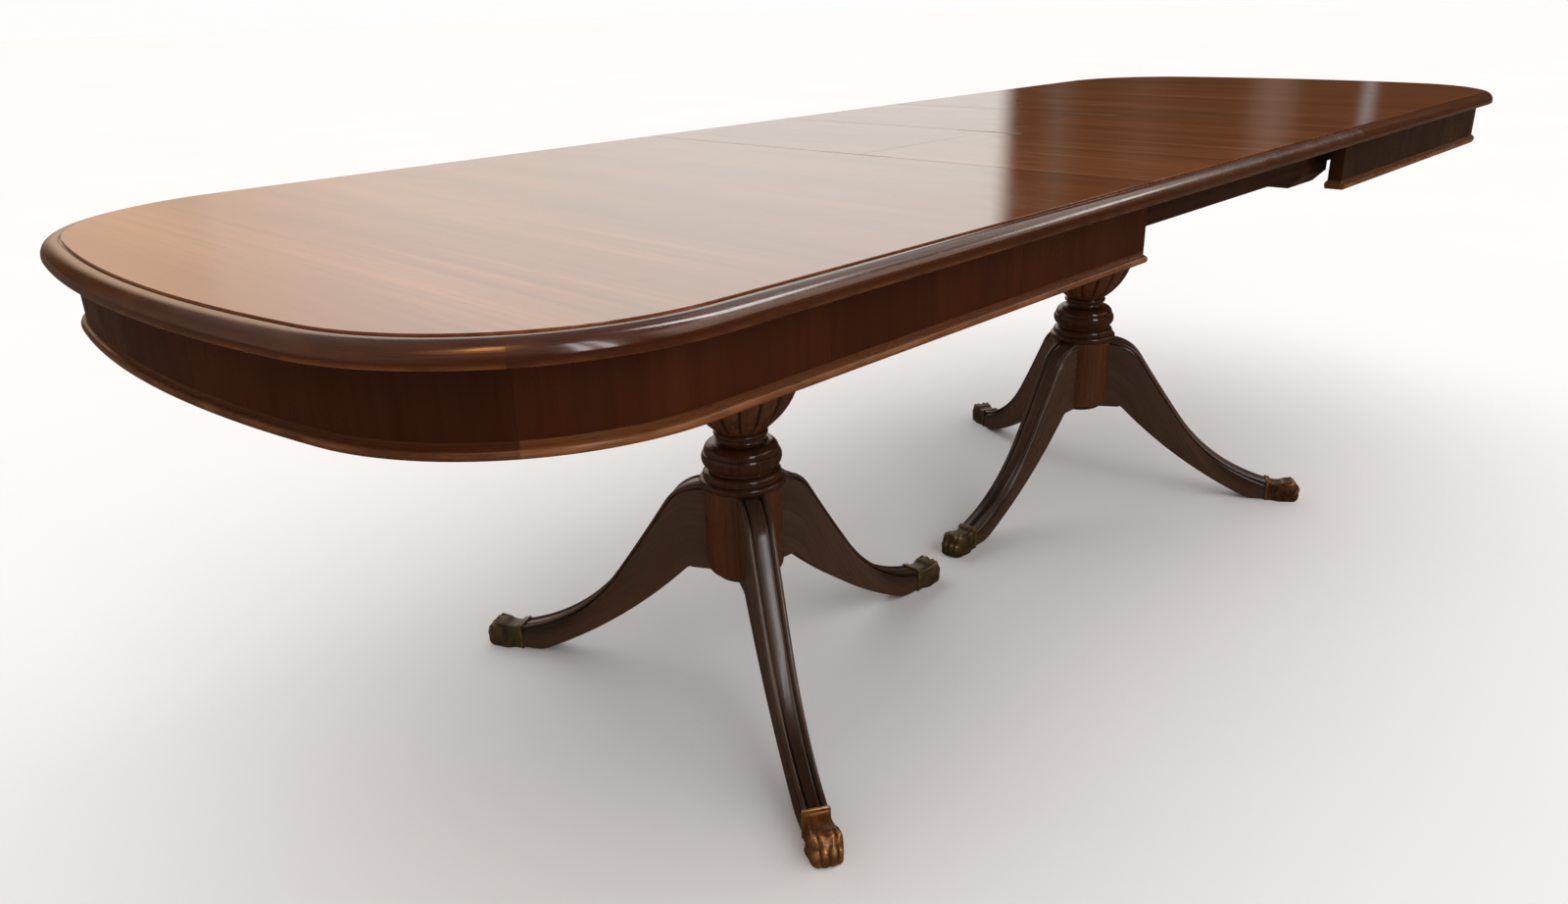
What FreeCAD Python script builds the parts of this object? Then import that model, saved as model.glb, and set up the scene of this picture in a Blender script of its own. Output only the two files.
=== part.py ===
import FreeCAD, Part
import math
import os
import Sketcher

# Double pedestal dining table, millimetres, +Z up.
# The origin is on the floor under the middle of the top; +X runs along the table to the far end.
# Two fixed pedestals are tied by runners. Two D-ended halves slide on those runners, and two leaves,
# each of two panels hinged on the centre line, fill the opening between the halves.

SIZES = {
    # Table top
    "top_thickness": 22,
    "half_width": 487,
    "half_length": 1027,
    "corner_radius": 266,
    "bow_radius": 1450,
    "leaf_width": 345,
    "seam_gap": 0.5,
    # Moulded lipping round the top
    "lipping_width": 22,
    "lipping_quirk": 1.6,
    "lipping_nose_radius": 11,
    "lipping_arris_radius": 2.5,
    # Apron and the bead under it
    "apron_inset": 27,
    "apron_thickness": 22,
    "apron_height": 64,
    "bead_inset": 20,
    "bead_width": 34,
    "bead_height": 14,
    "bead_upper_radius": 7.5,
    "bead_lower_radius": 4,
    # Slides
    "runner_height": 42.5,
    "runner_thickness": 30,
    "runner_reach": 585,
    "runner_tail": 660,
    "runner_end_wood": 40,
    "runner_corner_radius": 24,
    "tongue_height": 12,
    "tongue_depth": 8,
    "tongue_margin": 20,
    "slide_travel": 120,
    "slide_clearance": 0.5,
    "base_runner_length": 1270,
    # Pedestals
    "toe_gap": 65,
    "base_shift": 120,
    "bearer_height": 35,
    "bearer_width": 110,
    "bearer_chamfer": 20,
    "block_side": 190,
    "block_height": 40,
    "block_edge_radius": 12,
    "spigot_radius": 26,
    "spigot_length": 30,
    "joint_clearance": 0.2,
    # Turned column, from the drum up
    "drum_bottom": 187,
    "drum_height": 139,
    "drum_radius": 57,
    "drum_edge_round": 14,
    "collar_height": 12,
    "collar_radius": 63.5,
    "shoulder_height": 12,
    "shoulder_foot_radius": 57.5,
    "shoulder_top_radius": 51.5,
    "cove_height": 4,
    "cove_radius": 50,
    "knop_height": 23,
    "knop_foot_radius": 49,
    "knop_top_radius": 56.5,
    "crown_height": 16,
    "crown_foot_radius": 54.5,
    "crown_top_radius": 37,
    "neck_height": 7,
    "neck_radius": 34.5,
    "ring_height": 9,
    "ring_radius": 40,
    "urn_height": 111,
    "urn_foot_radius": 37,
    "urn_radius": 90,
    "reed_groove_radius": 3,
    "reed_foot_margin": 6,
    "rim_height": 18,
    "rim_radius": 95,
    "cap_height": 36,
    "cap_foot_radius": 82,
    "pillar_height": 48,
    "pillar_radius": 46,
    # Sabre legs
    "leg_width": 42,
    "leg_cuff_width": 34,
    "leg_reach": 377,
    "leg_cuff_height": 59,
    "leg_sole_height": 2,
    "leg_sole_length": 24,
    "leg_flat_length": 28,
    "leg_shoulder_length": 61,
    "leg_shoulder_drop": 36,
    "leg_bead_width": 7,
    "leg_bead_height": 3.2,
    "leg_band_width": 18,
    "leg_band_drop": 1.2,
    "leg_tenon_length": 8,
    "leg_tenon_width": 26,
    "leg_tenon_height": 40,
    "dovetail_depth": 16,
    "dovetail_neck": 18,
    "dovetail_tail": 24,
    "dovetail_height": 112,
    # Brass paws
    "cuff_length": 12,
    "cuff_rise": 2.5,
    "paw_length": 78,
    "paw_height": 60,
    "paw_knuckle_length": 36,
    "paw_front_height": 27,
    "paw_neck_width": 36,
    "paw_width": 46,
    "toe_overrun": 5,
    # Iron brace plate under each drum
    "spider_thickness": 4,
    "spider_radius": 44,
    "spider_arm_width": 26,
    "spider_arm_length": 25,
    # Card-table hinges in the leaves' cross edges
    "hinge_length": 60,
    "hinge_height": 13,
    "hinge_thickness": 3,
    "hinge_nose_radius": 6,
    "hinge_clearance": 0.4,
}

# Arc bulges, as shares of their chords
ROUND_SHARE = 0.2071
COLLAR_SHARE = 0.33
ROLL_SHARE = 0.2
KNOP_SHARE = 0.21
CROWN_SHARE = 0.12
RING_SHARE = 0.4
RIM_SHARE = 0.3
URN_SHARE = 0.13
CAP_SHARE = 0.16
UNDERSIDE_SHARE = 0.042
SWEEP_SHARE = 0.11
SHOULDER_SHARE = 0.125
TOE_FALL_SHARE = 0.14
PAW_SIDE_SHARE = 0.06
TOE_TIP_SHARE = 0.4

# How near two places are to count as one, as a share of an edge's length
SAME_SHARE = 0.0001

TOE_COUNT = 4
REED_COUNT = 16

# Angles, in degrees
FULL_TURN_DEGREES = 360
HALF_TURN_DEGREES = FULL_TURN_DEGREES / 2
NEAR_TURN_DEGREES = -3
STRIP_JOINT_DEGREES = 51.5

# Heights, from the drum up through the column, block, bearer and runners to the top
DRUM_TOP = "(dims.drum_bottom + dims.drum_height)"
COLLAR_TOP = f"({DRUM_TOP} + dims.collar_height)"
SHOULDER_TOP = f"({COLLAR_TOP} + dims.shoulder_height)"
COVE_TOP = f"({SHOULDER_TOP} + dims.cove_height)"
KNOP_TOP = f"({COVE_TOP} + dims.knop_height)"
CROWN_TOP = f"({KNOP_TOP} + dims.crown_height)"
NECK_TOP = f"({CROWN_TOP} + dims.neck_height)"
RING_TOP = f"({NECK_TOP} + dims.ring_height)"
URN_TOP = f"({RING_TOP} + dims.urn_height)"
RIM_TOP = f"({URN_TOP} + dims.rim_height)"
CAP_TOP = f"({RIM_TOP} + dims.cap_height)"
BLOCK_BOTTOM = f"({CAP_TOP} + dims.pillar_height)"
BLOCK_TOP = f"({BLOCK_BOTTOM} + dims.block_height)"
BEARER_TOP = f"({BLOCK_TOP} + dims.bearer_height)"
RUNNER_BOTTOM = f"({BEARER_TOP} + dims.slide_clearance)"
RUNNER_MIDDLE = f"({RUNNER_BOTTOM} + dims.runner_height / 2)"
TOP_UNDER = f"({RUNNER_BOTTOM} + dims.runner_height)"
TOP_FACE = f"({TOP_UNDER} + dims.top_thickness)"
APRON_BOTTOM = f"({TOP_UNDER} - dims.apron_height)"
HINGE_BOTTOM = f"({TOP_FACE} - dims.hinge_height)"

# Places along and across the table
HALF_SEAM = "(dims.seam_gap / 2)"
LEAF_END = f"(dims.leaf_width / 2 - {HALF_SEAM})"
END_DEPTH = (
    "(dims.bow_radius - sqrt((dims.bow_radius - dims.corner_radius)^2"
    " - (dims.half_width - dims.corner_radius)^2))"
)
SIDE_END = f"(dims.half_length - {END_DEPTH})"
BOW_CENTRE = "(dims.half_length - dims.bow_radius)"
APRON_INNER = "(dims.half_width - dims.apron_inset - dims.apron_thickness)"
NEAR_RUNNER_INNER = f"({APRON_INNER} - dims.runner_thickness)"
BASE_RUNNER_OUTER = f"({NEAR_RUNNER_INNER} - dims.slide_clearance)"
BASE_RUNNER_INNER = f"({BASE_RUNNER_OUTER} - dims.runner_thickness)"
FAR_RUNNER_OUTER = f"({BASE_RUNNER_INNER} - dims.slide_clearance)"
GROOVE_STOP = "(dims.runner_reach - dims.runner_end_wood)"
TONGUE_STOP = f"({GROOVE_STOP} - dims.leaf_width - dims.slide_travel - dims.slide_clearance)"

# Places out from a pedestal's axis
LEG_ROOT = "(dims.drum_radius - dims.leg_width / 2)"
DRUM_SEAT = "(dims.drum_radius + dims.joint_clearance)"
LEG_FLAT = "(dims.drum_radius + dims.leg_flat_length)"
LEG_SHOULDER = "(dims.drum_radius + dims.leg_shoulder_length)"
LEG_SHOULDER_TOP = f"({DRUM_TOP} - dims.leg_shoulder_drop)"
SPIDER_ARM_TIP = "(dims.drum_radius + dims.spider_arm_length)"
LEG_HEEL = "(dims.leg_reach - dims.leg_sole_length)"
PAW_TIP = "(dims.leg_reach + dims.paw_length)"
PAW_KNUCKLE = "(dims.leg_reach + dims.paw_knuckle_length)"
HALF_SPACING = f"({PAW_TIP} + dims.toe_gap / 2)"

PEDESTALS = {"near": (f"(-dims.base_shift - {HALF_SPACING})", NEAR_TURN_DEGREES),
             "far": (f"(-dims.base_shift + {HALF_SPACING})", HALF_TURN_DEGREES)}
LEG_NAMES = {"near": ("inner", "back", "front"), "far": ("inner", "front", "back")}
HALVES = {"near": ("-dims.leaf_width", HALF_TURN_DEGREES), "far": ("dims.leaf_width", 0)}
LEAVES = {"near_leaf": "-dims.leaf_width / 2", "far_leaf": "dims.leaf_width / 2"}

doc = FreeCAD.newDocument("dining_table")
sheet = doc.addObject("Spreadsheet::Sheet", "dims")
for row, (name, size) in enumerate(SIZES.items(), start=1):
    sheet.set(f"A{row}", name)
    sheet.set(f"B{row}", str(size))
    sheet.setAlias(f"B{row}", name)
doc.recompute()

subparts = []


# Drawing helpers

def value(expression):
    """The number that an expression of the sizes has now."""
    return float(sheet.evalExpression(expression))


def new_body(label, along="0", turn=0):
    """A named piece, turned about the upright axis and moved along the table."""
    body = doc.addObject("PartDesign::Body", label)
    body.Placement = FreeCAD.Placement(FreeCAD.Vector(), FreeCAD.Rotation(FreeCAD.Vector(0, 0, 1), turn))
    if along != "0":
        body.setExpression("Placement.Base.x", along)
    subparts.append(body)
    return body


def new_sketch(body, plane, offset="0"):
    """A sketch on one of the body's own planes, moved along that plane's normal."""
    support = next(item for item in body.Origin.OriginFeatures if item.Role == plane)
    sketch = body.newObject("Sketcher::SketchObject", "sketch")
    sketch.AttachmentSupport = [(support, "")]
    sketch.MapMode = "FlatFace"
    if offset != "0":
        sketch.setExpression("AttachmentOffset.Base.z", offset)
    return sketch


def bend_radius(start, end, bend):
    """The radius of a bend: given outright as (turn, radius), or from its bulge share of the chord."""
    if isinstance(bend, tuple):
        return bend[1]
    spread = 1 / (8 * abs(bend)) + abs(bend) / 2
    return f"({spread}) * sqrt((({end[0]}) - ({start[0]}))^2 + (({end[1]}) - ({start[1]}))^2)"


def turns_left(bend):
    """Whether a bend turns left, which bulges it to the right of the way along the outline."""
    return bend[0] == "left" if isinstance(bend, tuple) else bend > 0


def arc_geometry(start, end, radius, left):
    """The arc of under half a circle from start to end, as the sketcher keeps it."""
    chord = end - start
    rise = math.sqrt(max(radius ** 2 - chord.Length ** 2 / 4, 0))
    normal = FreeCAD.Vector(-chord.y, chord.x, 0).normalize()
    centre = (start + end) / 2 + normal * (rise if left else -rise)
    first, last = (start, end) if left else (end, start)
    angles = [math.atan2(point.y - centre.y, point.x - centre.x) for point in (first, last)]
    return Part.ArcOfCircle(Part.Circle(centre, FreeCAD.Vector(0, 0, 1), radius), *angles)


def named_rule(name, size, kind, *places):
    """A dimension of a sketch with a name and the expression that drives it."""
    rule = Sketcher.Constraint(kind, *places, value(size))
    rule.Name = name
    return rule, size


def pinned(edge, end, x, y):
    """The rules that tie one end of an edge to its two coordinates."""
    rules = []
    for kind, axis, place in (("X", -2, x), ("Y", -1, y)):
        if place == "0":
            rules.append((Sketcher.Constraint("PointOnObject", edge, end, axis), None))
        else:
            name = f"edge_{edge}_{kind.lower()}"
            rules.append(named_rule(name, place, f"Distance{kind}", -1, 1, edge, end))
    return rules


def apply_rules(sketch, rules):
    """Give a sketch its rules and bind the named ones to their expressions."""
    sketch.addConstraint([rule for rule, _ in rules])
    for rule, size in rules:
        if size is not None:
            sketch.setExpression(f".Constraints.{rule.Name}", size)


def outline(sketch, corners):
    """A closed outline. Each corner is (x, y), or (x, y, bend) where the edge that leaves it is bent."""
    corners = [corner if len(corner) == 3 else (*corner, None) for corner in corners]
    points = [FreeCAD.Vector(value(x), value(y), 0) for x, y, _ in corners]
    edges, ends, rules = [], [], []
    for index, (x, y, bend) in enumerate(corners):
        after = (index + 1) % len(corners)
        if bend is None:
            edges.append(Part.LineSegment(points[index], points[after]))
            ends.append((1, 2))
            continue
        radius = bend_radius((x, y), corners[after], bend)
        left = turns_left(bend)
        edges.append(arc_geometry(points[index], points[after], value(radius), left))
        ends.append((1, 2) if left else (2, 1))
        rules.append(named_rule(f"edge_{index}_bend", radius, "Radius", index))
    for index, (x, y, _) in enumerate(corners):
        before = (index - 1) % len(corners)
        meeting = Sketcher.Constraint("Coincident", before, ends[before][1], index, ends[index][0])
        rules += [(meeting, None), *pinned(index, ends[index][0], x, y)]
    sketch.addGeometry(edges, False)
    apply_rules(sketch, rules)
    return sketch


def rectangle(sketch, x_low, y_low, x_high, y_high):
    """A closed rectangle between two corners."""
    return outline(sketch, [(x_low, y_low), (x_high, y_low), (x_high, y_high), (x_low, y_high)])


def circle(sketch, radius):
    """A circle about the sketch's origin."""
    edge = sketch.addGeometry(Part.Circle(FreeCAD.Vector(), FreeCAD.Vector(0, 0, 1), value(radius)), False)
    centred = Sketcher.Constraint("Coincident", edge, 3, -1, 1)
    apply_rules(sketch, [(centred, None), named_rule("radius", radius, "Radius", edge)])
    return sketch


def pad(body, sketch, length):
    """Raise a sketch along its normal."""
    feature = body.newObject("PartDesign::Pad", "pad")
    feature.Profile = sketch
    feature.setExpression("Length", length)
    return feature


def pocket(body, sketch, length, along_normal=False):
    """Cut a sketch's outline out, against its normal or along it."""
    doc.recompute()
    volume = body.Shape.Volume
    feature = body.newObject("PartDesign::Pocket", "pocket")
    feature.Profile = sketch
    feature.Reversed = along_normal
    feature.setExpression("Length", length)
    doc.recompute()
    if not feature.Shape.Volume < volume:
        raise RuntimeError(f"{body.Label}: a cut took nothing away")
    return feature


def round_edges(body, feature, radius, chosen):
    """Round the edges of a feature that a test chooses."""
    doc.recompute()
    names = [f"Edge{index}" for index, edge in enumerate(feature.Shape.Edges, start=1) if chosen(edge)]
    fillet = body.newObject("PartDesign::Fillet", "fillet")
    fillet.Base = (feature, names)
    fillet.setExpression("Radius", radius)
    return fillet


def lies_at(edge, axis, place):
    """Whether a whole edge lies at one place along x, y or z."""
    box = edge.BoundBox
    low, high = getattr(box, f"{axis}Min"), getattr(box, f"{axis}Max")
    slack = edge.Length * SAME_SHARE
    return abs(low - place) < slack and abs(high - place) < slack


# The D-shaped end

def end_corner(inset, side):
    """Where the straight side meets the corner arc, on a line set in from the edge of the top."""
    return SIDE_END, f"({side} * (dims.half_width - {inset}))"


def strip_joint(inset, side):
    """Where an end strip meets a side strip, part of the way round the corner."""
    radius = f"(dims.corner_radius - {inset})"
    x = f"({SIDE_END} + {radius} * cos({STRIP_JOINT_DEGREES} deg))"
    reach = f"(dims.half_width - dims.corner_radius + {radius} * sin({STRIP_JOINT_DEGREES} deg))"
    return x, f"({side} * {reach})"


def end_turn(inset, side):
    """Where the corner arc meets the bowed end, on a line set in from the edge of the top."""
    share = f"((dims.bow_radius - {inset}) / (dims.bow_radius - dims.corner_radius))"
    x = f"({BOW_CENTRE} + ({SIDE_END} - {BOW_CENTRE}) * {share})"
    y = f"({side} * (dims.half_width - dims.corner_radius) * {share})"
    return x, y


def end_line(first, inset, side, turn):
    """The corners of the D end, walked from a first corner on one side to the last bend on the other."""
    corner_bend = (turn, f"(dims.corner_radius - {inset})")
    bow_bend = (turn, f"(dims.bow_radius - {inset})")
    return [(*first, corner_bend), (*end_turn(inset, side), bow_bend),
            (*end_turn(inset, -side), corner_bend)]


def end_strip(sketch, outer, inner):
    """A strip that follows the D end between two insets, from joint to joint."""
    corners = [*end_line(strip_joint(outer, -1), outer, -1, "left"), strip_joint(outer, 1),
               *end_line(strip_joint(inner, 1), inner, 1, "right"), strip_joint(inner, -1)]
    return outline(sketch, corners)


def side_strip(sketch, outer, inner, side):
    """A strip that follows a straight side between two insets and goes on round the corner to its joint."""
    ahead, back = ("left", "right") if side > 0 else ("right", "left")
    inner_bend = (back, f"(dims.corner_radius - {inner})")
    outer_bend = (ahead, f"(dims.corner_radius - {outer})")
    corners = [(HALF_SEAM, end_corner(inner, side)[1]),
               (*end_corner(inner, side), inner_bend), strip_joint(inner, side),
               (*strip_joint(outer, side), outer_bend), end_corner(outer, side),
               (HALF_SEAM, end_corner(outer, side)[1])]
    return outline(sketch, corners)


def round_strip(body, feature, inset, height, radius):
    """Round a strip's long edges at one height, on the line at an inset from the edge of the top."""
    radii = [value(f"dims.corner_radius - {inset}"), value(f"dims.bow_radius - {inset}")]
    across = value(f"dims.half_width - {inset}")
    level = value(height)

    def on_line(edge):
        if not lies_at(edge, "Z", level):
            return False
        if isinstance(edge.Curve, Part.Circle):
            return any(abs(edge.Curve.Radius - wanted) < wanted * SAME_SHARE for wanted in radii)
        return lies_at(edge, "Y", across) or lies_at(edge, "Y", -across)

    return round_edges(body, feature, radius, on_line)


def mould_strip(body, feature, inset, bottom, height, upper, lower):
    """Round a strip's outer upper and lower edges."""
    feature = round_strip(body, feature, inset, f"({bottom} + {height})", upper)
    return round_strip(body, feature, inset, bottom, lower)


# The two halves of the top

def top_panel(half, along, turn):
    """The flat field of a half, inside its lipping."""
    body = new_body(f"{half}_top_panel", along, turn)
    inset = "dims.lipping_width"
    corners = [(HALF_SEAM, end_corner(inset, -1)[1]), *end_line(end_corner(inset, -1), inset, -1, "left"),
               end_corner(inset, 1), (HALF_SEAM, end_corner(inset, 1)[1])]
    pad(body, outline(new_sketch(body, "XY_Plane", TOP_UNDER), corners), "dims.top_thickness")


def edge_strips(half, along, turn, piece, bottom, height, outer, inner, radii):
    """The curved end strip and two side strips of a lipping, apron or bead, with their edge radii."""
    end = new_body(f"{half}_end_{piece}", along, turn)
    strips = [(end, end_strip(new_sketch(end, "XY_Plane", bottom), outer, inner))]
    for side_name, side in (("front", -1), ("back", 1)):
        hand = -side if turn else side
        body = new_body(f"{half}_{side_name}_{piece}", along, turn)
        strips.append((body, side_strip(new_sketch(body, "XY_Plane", bottom), outer, inner, hand)))
    for body, sketch in strips:
        raised = pad(body, sketch, height)
        if radii:
            mould_strip(body, raised, outer, bottom, height, *radii)


def half_runners(half, along, turn, outer_face, groove_face):
    """The two slide runners of a half, each with a stopped groove for the base runner's tongue."""
    inner_face = f"({outer_face} - dims.runner_thickness)"
    for side_name, side in (("front", -1), ("back", 1)):
        hand = -side if turn else side
        body = new_body(f"{half}_{side_name}_runner", along, turn)
        low, high = sorted((f"({hand} * {outer_face})", f"({hand} * {inner_face})"), key=value)
        section = rectangle(new_sketch(body, "YZ_Plane", "-dims.runner_reach"),
                            low, RUNNER_BOTTOM, high, TOP_UNDER)
        bar = pad(body, section, "dims.runner_reach + dims.runner_tail")
        nose = value("-dims.runner_reach")
        floor = value(RUNNER_BOTTOM)
        bar = round_edges(body, bar, "dims.runner_corner_radius",
                          lambda edge: lies_at(edge, "X", nose) and lies_at(edge, "Z", floor))
        mouth = f"({hand} * {outer_face})" if groove_face == "outer" else f"({hand} * {inner_face})"
        inward = -hand if groove_face == "outer" else hand
        bed = f"({mouth} + {inward} * dims.tongue_depth)"
        low, high = sorted((mouth, bed), key=value)
        room = "(dims.tongue_height / 2 + dims.slide_clearance)"
        groove = rectangle(new_sketch(body, "YZ_Plane", f"-{GROOVE_STOP}"),
                           low, f"({RUNNER_MIDDLE} - {room})", high, f"({RUNNER_MIDDLE} + {room})")
        pocket(body, groove, f"{GROOVE_STOP} + dims.runner_tail", along_normal=True)


def top_half(half):
    """One D-ended half of the top with its apron, bead and runners."""
    along, turn = HALVES[half]
    top_panel(half, along, turn)
    edge_strips(half, along, turn, "lipping", TOP_UNDER, "(dims.top_thickness - dims.lipping_quirk)",
                "0", "dims.lipping_width", ("dims.lipping_nose_radius", "dims.lipping_arris_radius"))
    edge_strips(half, along, turn, "apron", APRON_BOTTOM, "dims.apron_height",
                "dims.apron_inset", "(dims.apron_inset + dims.apron_thickness)", None)
    edge_strips(half, along, turn, "bead", f"({APRON_BOTTOM} - dims.bead_height)", "dims.bead_height",
                "dims.bead_inset", "(dims.bead_inset + dims.bead_width)",
                ("dims.bead_upper_radius", "dims.bead_lower_radius"))
    if half == "near":
        half_runners(half, along, turn, APRON_INNER, "inner")
    else:
        half_runners(half, along, turn, FAR_RUNNER_OUTER, "outer")


# The folding leaves

def leaf_panel(leaf, part, side, along):
    """One panel of a leaf, with a recess for a hinge plate in each cross edge."""
    body = new_body(f"{leaf}_{part}_panel", along)
    places = (f"({side} * {HALF_SEAM})", f"({side} * (dims.half_width - dims.lipping_width))")
    low, high = sorted(places, key=value)
    board = rectangle(new_sketch(body, "XY_Plane", TOP_UNDER), f"-{LEAF_END}", low, LEAF_END, high)
    pad(body, board, "dims.top_thickness")
    low, high = sorted((f"({side} * {HALF_SEAM})", f"({side} * dims.hinge_length)"), key=value)
    depth = "dims.hinge_thickness" if part == "fixed" else "(dims.hinge_thickness + dims.hinge_clearance)"
    for end in (-1, 1):
        face = new_sketch(body, "YZ_Plane", f"({end} * {LEAF_END})")
        pocket(body, rectangle(face, low, HINGE_BOTTOM, high, TOP_FACE), depth, along_normal=end < 0)


def leaf_lipping(leaf, part, side, along):
    """The moulded end of a leaf panel."""
    body = new_body(f"{leaf}_{part}_lipping", along)
    edge = f"({side} * dims.half_width)"
    low, high = sorted((edge, f"({side} * (dims.half_width - dims.lipping_width))"), key=value)
    strip = rectangle(new_sketch(body, "XY_Plane", TOP_UNDER), f"-{LEAF_END}", low, LEAF_END, high)
    height = "(dims.top_thickness - dims.lipping_quirk)"
    mould_strip(body, pad(body, strip, height), "0", TOP_UNDER, height,
                "dims.lipping_nose_radius", "dims.lipping_arris_radius")


def hinge_outline(sketch, part):
    """A hinge plate seen from the end: the fixed one has the round nose, the flap's the hollow for it."""
    if part == "fixed":
        nose = "dims.hinge_nose_radius"
        drop = f"({TOP_FACE} - sqrt({nose}^2 - {HALF_SEAM}^2))"
        corners = [(f"(-1 * {nose})", TOP_FACE, ("left", nose)), (HALF_SEAM, drop), (HALF_SEAM, HINGE_BOTTOM),
                   ("dims.hinge_length", HINGE_BOTTOM), ("dims.hinge_length", TOP_FACE)]
    else:
        hollow = "(dims.hinge_nose_radius + dims.hinge_clearance)"
        drop = f"({TOP_FACE} - sqrt({hollow}^2 - {HALF_SEAM}^2))"
        corners = [("(-1 * dims.hinge_length)", TOP_FACE), ("(-1 * dims.hinge_length)", HINGE_BOTTOM),
                   (f"(-1 * {HALF_SEAM})", HINGE_BOTTOM), (f"(-1 * {HALF_SEAM})", drop, ("right", hollow)),
                   (f"(-1 * {hollow})", TOP_FACE)]
    return outline(sketch, corners)


def hinge_plates(leaf, part, along):
    """The pair of brass hinge plates let into a leaf panel's two cross edges."""
    body = new_body(f"{leaf}_{part}_hinge_plates", along)
    body.AllowCompound = True
    sunk = "0" if part == "fixed" else "dims.hinge_clearance"
    outside = f"({LEAF_END} - {sunk})"
    for start in (f"(-1 * {outside})", f"({outside} - dims.hinge_thickness)"):
        pad(body, hinge_outline(new_sketch(body, "YZ_Plane", start), part), "dims.hinge_thickness")


def folding_leaf(leaf):
    """One leaf: the panel that stays, at the back, and the flap that folds over it."""
    along = LEAVES[leaf]
    for part, side in (("fixed", 1), ("flap", -1)):
        leaf_panel(leaf, part, side, along)
        leaf_lipping(leaf, part, side, along)
        hinge_plates(leaf, part, along)


# The pedestals

def column(pedestal, along, turn):
    """The turned column, with a reeded urn and three dovetail housings for the legs."""
    body = new_body(f"{pedestal}_column", along, turn)
    collar_edge = f"(dims.collar_radius - {COLLAR_SHARE} * dims.collar_height)"
    ring_edge = f"(dims.ring_radius - {RING_SHARE} * dims.ring_height)"
    spigot_top = f"({BLOCK_BOTTOM} + dims.spigot_length)"
    profile = [("0", "dims.drum_bottom"),
               ("(dims.drum_radius - dims.drum_edge_round)", "dims.drum_bottom", ROUND_SHARE),
               ("dims.drum_radius", "(dims.drum_bottom + dims.drum_edge_round)"),
               ("dims.drum_radius", DRUM_TOP), (collar_edge, DRUM_TOP, COLLAR_SHARE),
               (collar_edge, COLLAR_TOP), ("dims.shoulder_foot_radius", COLLAR_TOP, ROLL_SHARE),
               ("dims.shoulder_top_radius", SHOULDER_TOP), ("dims.cove_radius", SHOULDER_TOP),
               ("dims.cove_radius", COVE_TOP), ("dims.knop_foot_radius", COVE_TOP, KNOP_SHARE),
               ("dims.knop_top_radius", KNOP_TOP), ("dims.crown_foot_radius", KNOP_TOP, CROWN_SHARE),
               ("dims.crown_top_radius", CROWN_TOP), ("dims.neck_radius", CROWN_TOP),
               ("dims.neck_radius", NECK_TOP), (ring_edge, NECK_TOP, RING_SHARE),
               (ring_edge, RING_TOP), ("dims.urn_foot_radius", RING_TOP, URN_SHARE),
               ("dims.urn_radius", URN_TOP), ("dims.rim_radius", URN_TOP, RIM_SHARE),
               ("dims.rim_radius", RIM_TOP), ("dims.cap_foot_radius", RIM_TOP, -CAP_SHARE),
               ("dims.pillar_radius", CAP_TOP), ("dims.pillar_radius", BLOCK_BOTTOM),
               ("dims.spigot_radius", BLOCK_BOTTOM), ("dims.spigot_radius", spigot_top), ("0", spigot_top)]
    sketch = outline(new_sketch(body, "XZ_Plane"), profile)
    turned = body.newObject("PartDesign::Revolution", "turning")
    turned.Profile = sketch
    turned.ReferenceAxis = (sketch, ["V_Axis"])
    turned.Angle = FULL_TURN_DEGREES
    housing = pocket(body, dovetail(body, "dims.joint_clearance"),
                     "(dims.dovetail_height + dims.joint_clearance)", along_normal=True)
    ring_of(body, "housings", housing, (sketch, ["V_Axis"]), len(LEG_NAMES[pedestal]))
    ring_of(body, "reeds", reed_groove(body), (sketch, ["V_Axis"]), REED_COUNT)


def ring_of(body, name, feature, axis, count):
    """A feature repeated evenly round an axis."""
    ring = body.newObject("PartDesign::PolarPattern", name)
    ring.Originals = [feature]
    ring.Axis = axis
    ring.Angle = FULL_TURN_DEGREES
    ring.Occurrences = count
    body.Tip = ring
    return ring


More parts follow.
